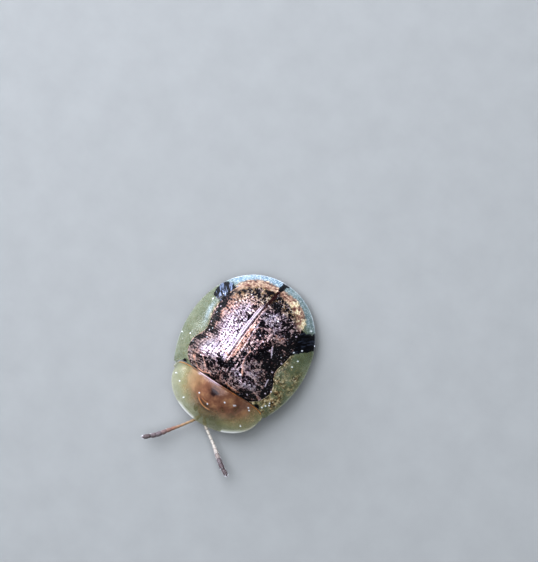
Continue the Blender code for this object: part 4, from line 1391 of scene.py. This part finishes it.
def make_feeler(word):
    """Eleven segments strung along the feeler's curve, the last five thicker and hairy."""
    line = smooth_line(FEELERS[word], np.linspace(0, 1, 400))
    run = np.concatenate([[0], np.cumsum(np.linalg.norm(np.diff(line, axis=0), axis=1))])

    def line_at(s):
        return [np.interp(s, run, line[:, axis]) for axis in range(3)]

    total = sum(segment[0] for segment in FEELER_SEGMENTS)
    rng = random.Random(5)
    pieces = []
    done = 0.0
    for number, (length, root_half, tip_half) in enumerate(FEELER_SEGMENTS):
        start = done / total * run[-1]
        done += length
        end = done / total * run[-1]
        middle = (done - length / 2) / total
        stations = [start + (end - start) * share for share in (-0.08, 0.5, 1.04)]
        places = [line_at(s) for s in stations]
        full = max(root_half, tip_half)
        widths = (root_half * 0.93, (root_half + full) / 2, full, tip_half)
        blunt = 3.0 if number == len(FEELER_SEGMENTS) - 1 else 9.0
        piece = spindle(f"segment_{number}", places, widths, widths, 18, 18, blunt)
        base = np.array((places[0][0], REAR_Y - places[0][1], places[0][2]))
        from_base = np.linalg.norm(points_of(piece) - base, axis=1) / (end - start)
        # Painted highlight: the left feeler's stalk is made pale
        pale = smooth(0.06, 0.2, middle) * smooth(0.76, 0.46, middle)
        bleach = LOOKS[word]["feeler_stalk_highlight"] * pale
        mark_segment(piece, middle, smooth(0.4, 0.12, from_base), bleach, 0.0)
        pieces.append(piece)
        hair_places = []
        for _ in range(CLUB_HAIRS if number >= FIRST_CLUB_SEGMENT else STALK_HAIRS):
            share = rng.uniform(0.15, 0.92)
            s = start + (end - start) * share
            half = np.interp(share, (0, 1 / 3, 2 / 3, 1), widths)
            x, u, z = line_at(s)
            next_x, next_u, next_z = line_at(s + 0.02)
            ahead = Vector((next_x - x, -(next_u - u), next_z - z)).normalized()
            across = ahead.cross(Vector((0, 0, 1))).normalized()
            turn = rng.uniform(0, 2 * math.pi)
            out = across * math.cos(turn) + across.cross(ahead) * math.sin(turn)
            root = Vector((x, REAR_Y - u, z)) + out * half * 0.85
            hair_places.append((root, (out * 0.5 + ahead).normalized()))
        for hair in hairs("fuzz", hair_places, HAIR_LENGTH, HAIR_HALF):
            mark_segment(hair, middle, 0.0, 0.0, 1.0)
            pieces.append(hair)
    feeler = joined(f"feeler_{word}", pieces)
    settle(feeler, MATERIALS["feeler"], "antenna", f"antenna_{word}")


LEGS = {
    "front": ((0.32, 5.74, 0.72), (1.02, 5.78, 0.64), (1.34, 6.1, 0.2), (1.48, 6.46, 0.1)),
    "middle": ((0.38, 4.55, 0.8), (1.35, 4.45, 0.68), (1.88, 4.16, 0.2), (2.4, 3.95, 0.1)),
    "hind": ((0.38, 3.45, 0.82), (1.35, 3.1, 0.68), (1.74, 2.44, 0.2), (2.08, 1.86, 0.1)),
}


def between(start, end, share):
    return tuple(a + (b - a) * share for a, b in zip(start, end))


def make_leg(word, side_word):
    """Hip, thigh, shin, four foot joints, the third two-lobed, and two claws."""
    side = 1 if side_word == "left" else -1
    root, knee, ankle, tip = [(side * x, u, z) for x, u, z in LEGS[word]]
    pieces = [ball("hip", root[0] - side * 0.06, root[1], root[2] + 0.08, (0.2, 0.17, 0.17), 24, 16)]
    pieces.append(
        spindle(
            "thigh",
            (root, between(root, knee, 0.5), (knee[0], knee[1], knee[2] + 0.02)),
            (0.1, 0.17, 0.19, 0.16, 0.1),
            (0.1, 0.15, 0.17, 0.15, 0.1),
            24,
            20,
        )
    )
    middle = between(knee, ankle, 0.5)
    middle = (middle[0] + side * 0.04, middle[1], middle[2] + 0.05)
    pieces.append(
        spindle(
            "shin",
            (knee, middle, ankle),
            (0.08, 0.09, 0.1, 0.115, 0.12),
            (0.08, 0.09, 0.1, 0.11, 0.1),
            20,
            18,
        )
    )
    joints = (0.0, 0.26, 0.48, 0.72, 1.0)
    sole = 0.09
    flat_tip = (tip[0], tip[1], sole)
    flat_ankle = (ankle[0], ankle[1], sole)
    for index in range(2):
        start = between(flat_ankle, flat_tip, joints[index])
        end = between(flat_ankle, flat_tip, joints[index + 1] + 0.03)
        wide, high = (0.06, 0.1, 0.12), (0.075, 0.088, 0.07)
        pieces.append(spindle("foot_joint", (start, end), wide, high, 18, 12, 3.0))
    ahead = Vector((tip[0] - ankle[0], tip[1] - ankle[1], 0)).normalized()
    across = Vector((-ahead.y, ahead.x, 0))
    for turn in (-1, 1):
        start = Vector(between(flat_ankle, flat_tip, joints[2])) + across * turn * 0.03
        end = Vector(between(flat_ankle, flat_tip, joints[3] + 0.06)) + across * turn * 0.1
        wide, high = (0.05, 0.075, 0.075), (0.06, 0.075, 0.055)
        pieces.append(spindle("lobe", (start, end), wide, high, 18, 12, 3.0))
    start = between(flat_ankle, flat_tip, joints[2] + 0.1)
    rising = (start[0], start[1], sole + 0.05)
    end = (tip[0], tip[1], sole + 0.03)
    wide, high = (0.03, 0.04, 0.055), (0.03, 0.04, 0.05)
    pieces.append(spindle("foot_end", (rising, end), wide, high, 16, 12, 4.0))
    for turn in (-1, 1):
        base = Vector(end) + across * turn * 0.025
        out = base + ahead * 0.07 + across * turn * 0.06 + Vector((0, 0, 0.01))
        point = base + ahead * 0.13 + across * turn * 0.07 - Vector((0, 0, 0.08))
        halves = (0.022, 0.018, 0.006)
        pieces.append(spindle("claw", (base, out, point), halves, halves, 12, 12, 3.0))
    rng = random.Random(len(word) + side)
    bristle_places = []
    for _ in range(BRISTLES):
        share = rng.uniform(0.1, 1.0)
        base = Vector(between(knee, ankle, share))
        base.y = REAR_Y - base.y
        out = Vector((rng.uniform(-1, 1), rng.uniform(-1, 1), rng.uniform(-0.4, 1))).normalized()
        bristle_places.append((base + out * 0.09, (out + Vector((side * 0.8, 0, -0.8))).normalized()))
    pieces.extend(hairs("bristles", bristle_places, BRISTLE_LENGTH, HAIR_HALF))
    leg = joined(f"leg_{word}_{side_word}_limb", pieces)
    points = points_of(leg)
    points[:, 2] = np.maximum(points[:, 2], 0.0)
    move_points(leg, points)
    settle(leg, MATERIALS["limb"], "leg", f"leg_{word}_{side_word}")


# Floor, light and camera


def make_stage():
    deselect()
    bpy.ops.mesh.primitive_plane_add(size=1.2)
    floor = newest("floor_card")
    floor.data.materials.append(MATERIALS["floor"])
    world = bpy.context.scene.world or bpy.data.worlds.new("world")
    bpy.context.scene.world = world
    world.use_nodes = True
    sky = world.node_tree.nodes["Background"]
    sky.inputs["Color"].default_value = linear("#E8EEF4")
    sky.inputs["Strength"].default_value = 0.15
    soft_light("key_sky", (-0.074, 0.036, 0.074), 0.16, 0.23, "#EEF0FF")
    soft_light("sky_overhead", (0.03, -0.01, 0.19), 0.24, 0.26, "#EEF2FF")
    bpy.context.scene.view_settings.view_transform = "Standard"
    bpy.context.scene.view_settings.look = "High Contrast"


def soft_light(name, place, size, power, colour):
    light = bpy.data.lights.new(name, "AREA")
    light.shape = "DISK"
    light.size = size
    light.energy = power
    light.color = linear(colour)[:3]
    lamp = bpy.data.objects.new(name, light)
    lamp.location = place
    lamp.rotation_euler = (-Vector(place)).to_track_quat("-Z", "Y").to_euler()
    lamp.visible_camera = False
    bpy.context.scene.collection.objects.link(lamp)


# The photo's frame, in pixels, and the shell in it
IMAGE_SIZE = (538, 562)
SHELL_PIXELS = 163.1
SHELL_MIDDLE = (241.7, 352.9)
HEAD_TOWARDS = (-0.541, 0.841)  # the way the head points in the photo, right and down
CAMERA_LEAN = math.radians(10)  # from straight above, towards the beetle's left
CAMERA_AWAY = 0.15
SENSOR_HEIGHT = 36


def make_camera():
    """Stands where the photographer stood: nearly overhead, with the photo's framing."""
    metres_per_pixel = SHELL_LENGTH * MM / SHELL_PIXELS
    right = Vector((HEAD_TOWARDS[1], -HEAD_TOWARDS[0], 0))
    up = Vector((HEAD_TOWARDS[0], HEAD_TOWARDS[1], 0))
    middle = Vector((0, (REAR_Y - SHELL_LENGTH / 2) * MM, rim_height(SHELL_LENGTH / 2) * MM))
    shift_right = (IMAGE_SIZE[0] / 2 - SHELL_MIDDLE[0]) * metres_per_pixel
    shift_up = (SHELL_MIDDLE[1] - IMAGE_SIZE[1] / 2) * metres_per_pixel
    target = middle + right * shift_right + up * shift_up
    back = Vector((math.sin(CAMERA_LEAN), 0, math.cos(CAMERA_LEAN))).normalized()
    side = up.cross(back).normalized()
    over = back.cross(side)
    camera = bpy.data.objects.new("camera", bpy.data.cameras.new("camera"))
    camera.matrix_world = Matrix.Translation(target + back * CAMERA_AWAY) @ Matrix(
        (
            (side.x, over.x, back.x, 0),
            (side.y, over.y, back.y, 0),
            (side.z, over.z, back.z, 0),
            (0, 0, 0, 1),
        )
    )
    camera.data.sensor_fit = "VERTICAL"
    camera.data.sensor_height = SENSOR_HEIGHT
    camera.data.lens = SENSOR_HEIGHT * CAMERA_AWAY / (IMAGE_SIZE[1] * metres_per_pixel)
    camera.data.clip_start = 0.005
    bpy.context.scene.collection.objects.link(camera)
    bpy.context.scene.camera = camera


MATERIALS = {
    "copper": copper_cuticle(),
    "clear": clear_cuticle(),
    "amber": amber_cuticle(),
    "underside": brown_cuticle("cuticle_underside", "#1C110B", "#3E281A"),
    "limb": brown_cuticle("cuticle_limb", "#6E4020", "#A8713C", 0.34),
    "feeler": feeler_cuticle(),
    "eye": eye_lens(),
    "floor": floor_card(),
}

for side_word, side_sign in (("left", 1), ("right", -1)):
    make_disc(side_word, side_sign)
    make_margin(side_word, side_sign)
make_pronotum()
make_scutellum()
make_body()
make_head()
make_eyes()
make_feeler("left")
make_feeler("right")
for leg_word in LEGS:
    make_leg(leg_word, "left")
    make_leg(leg_word, "right")
make_stage()
make_camera()
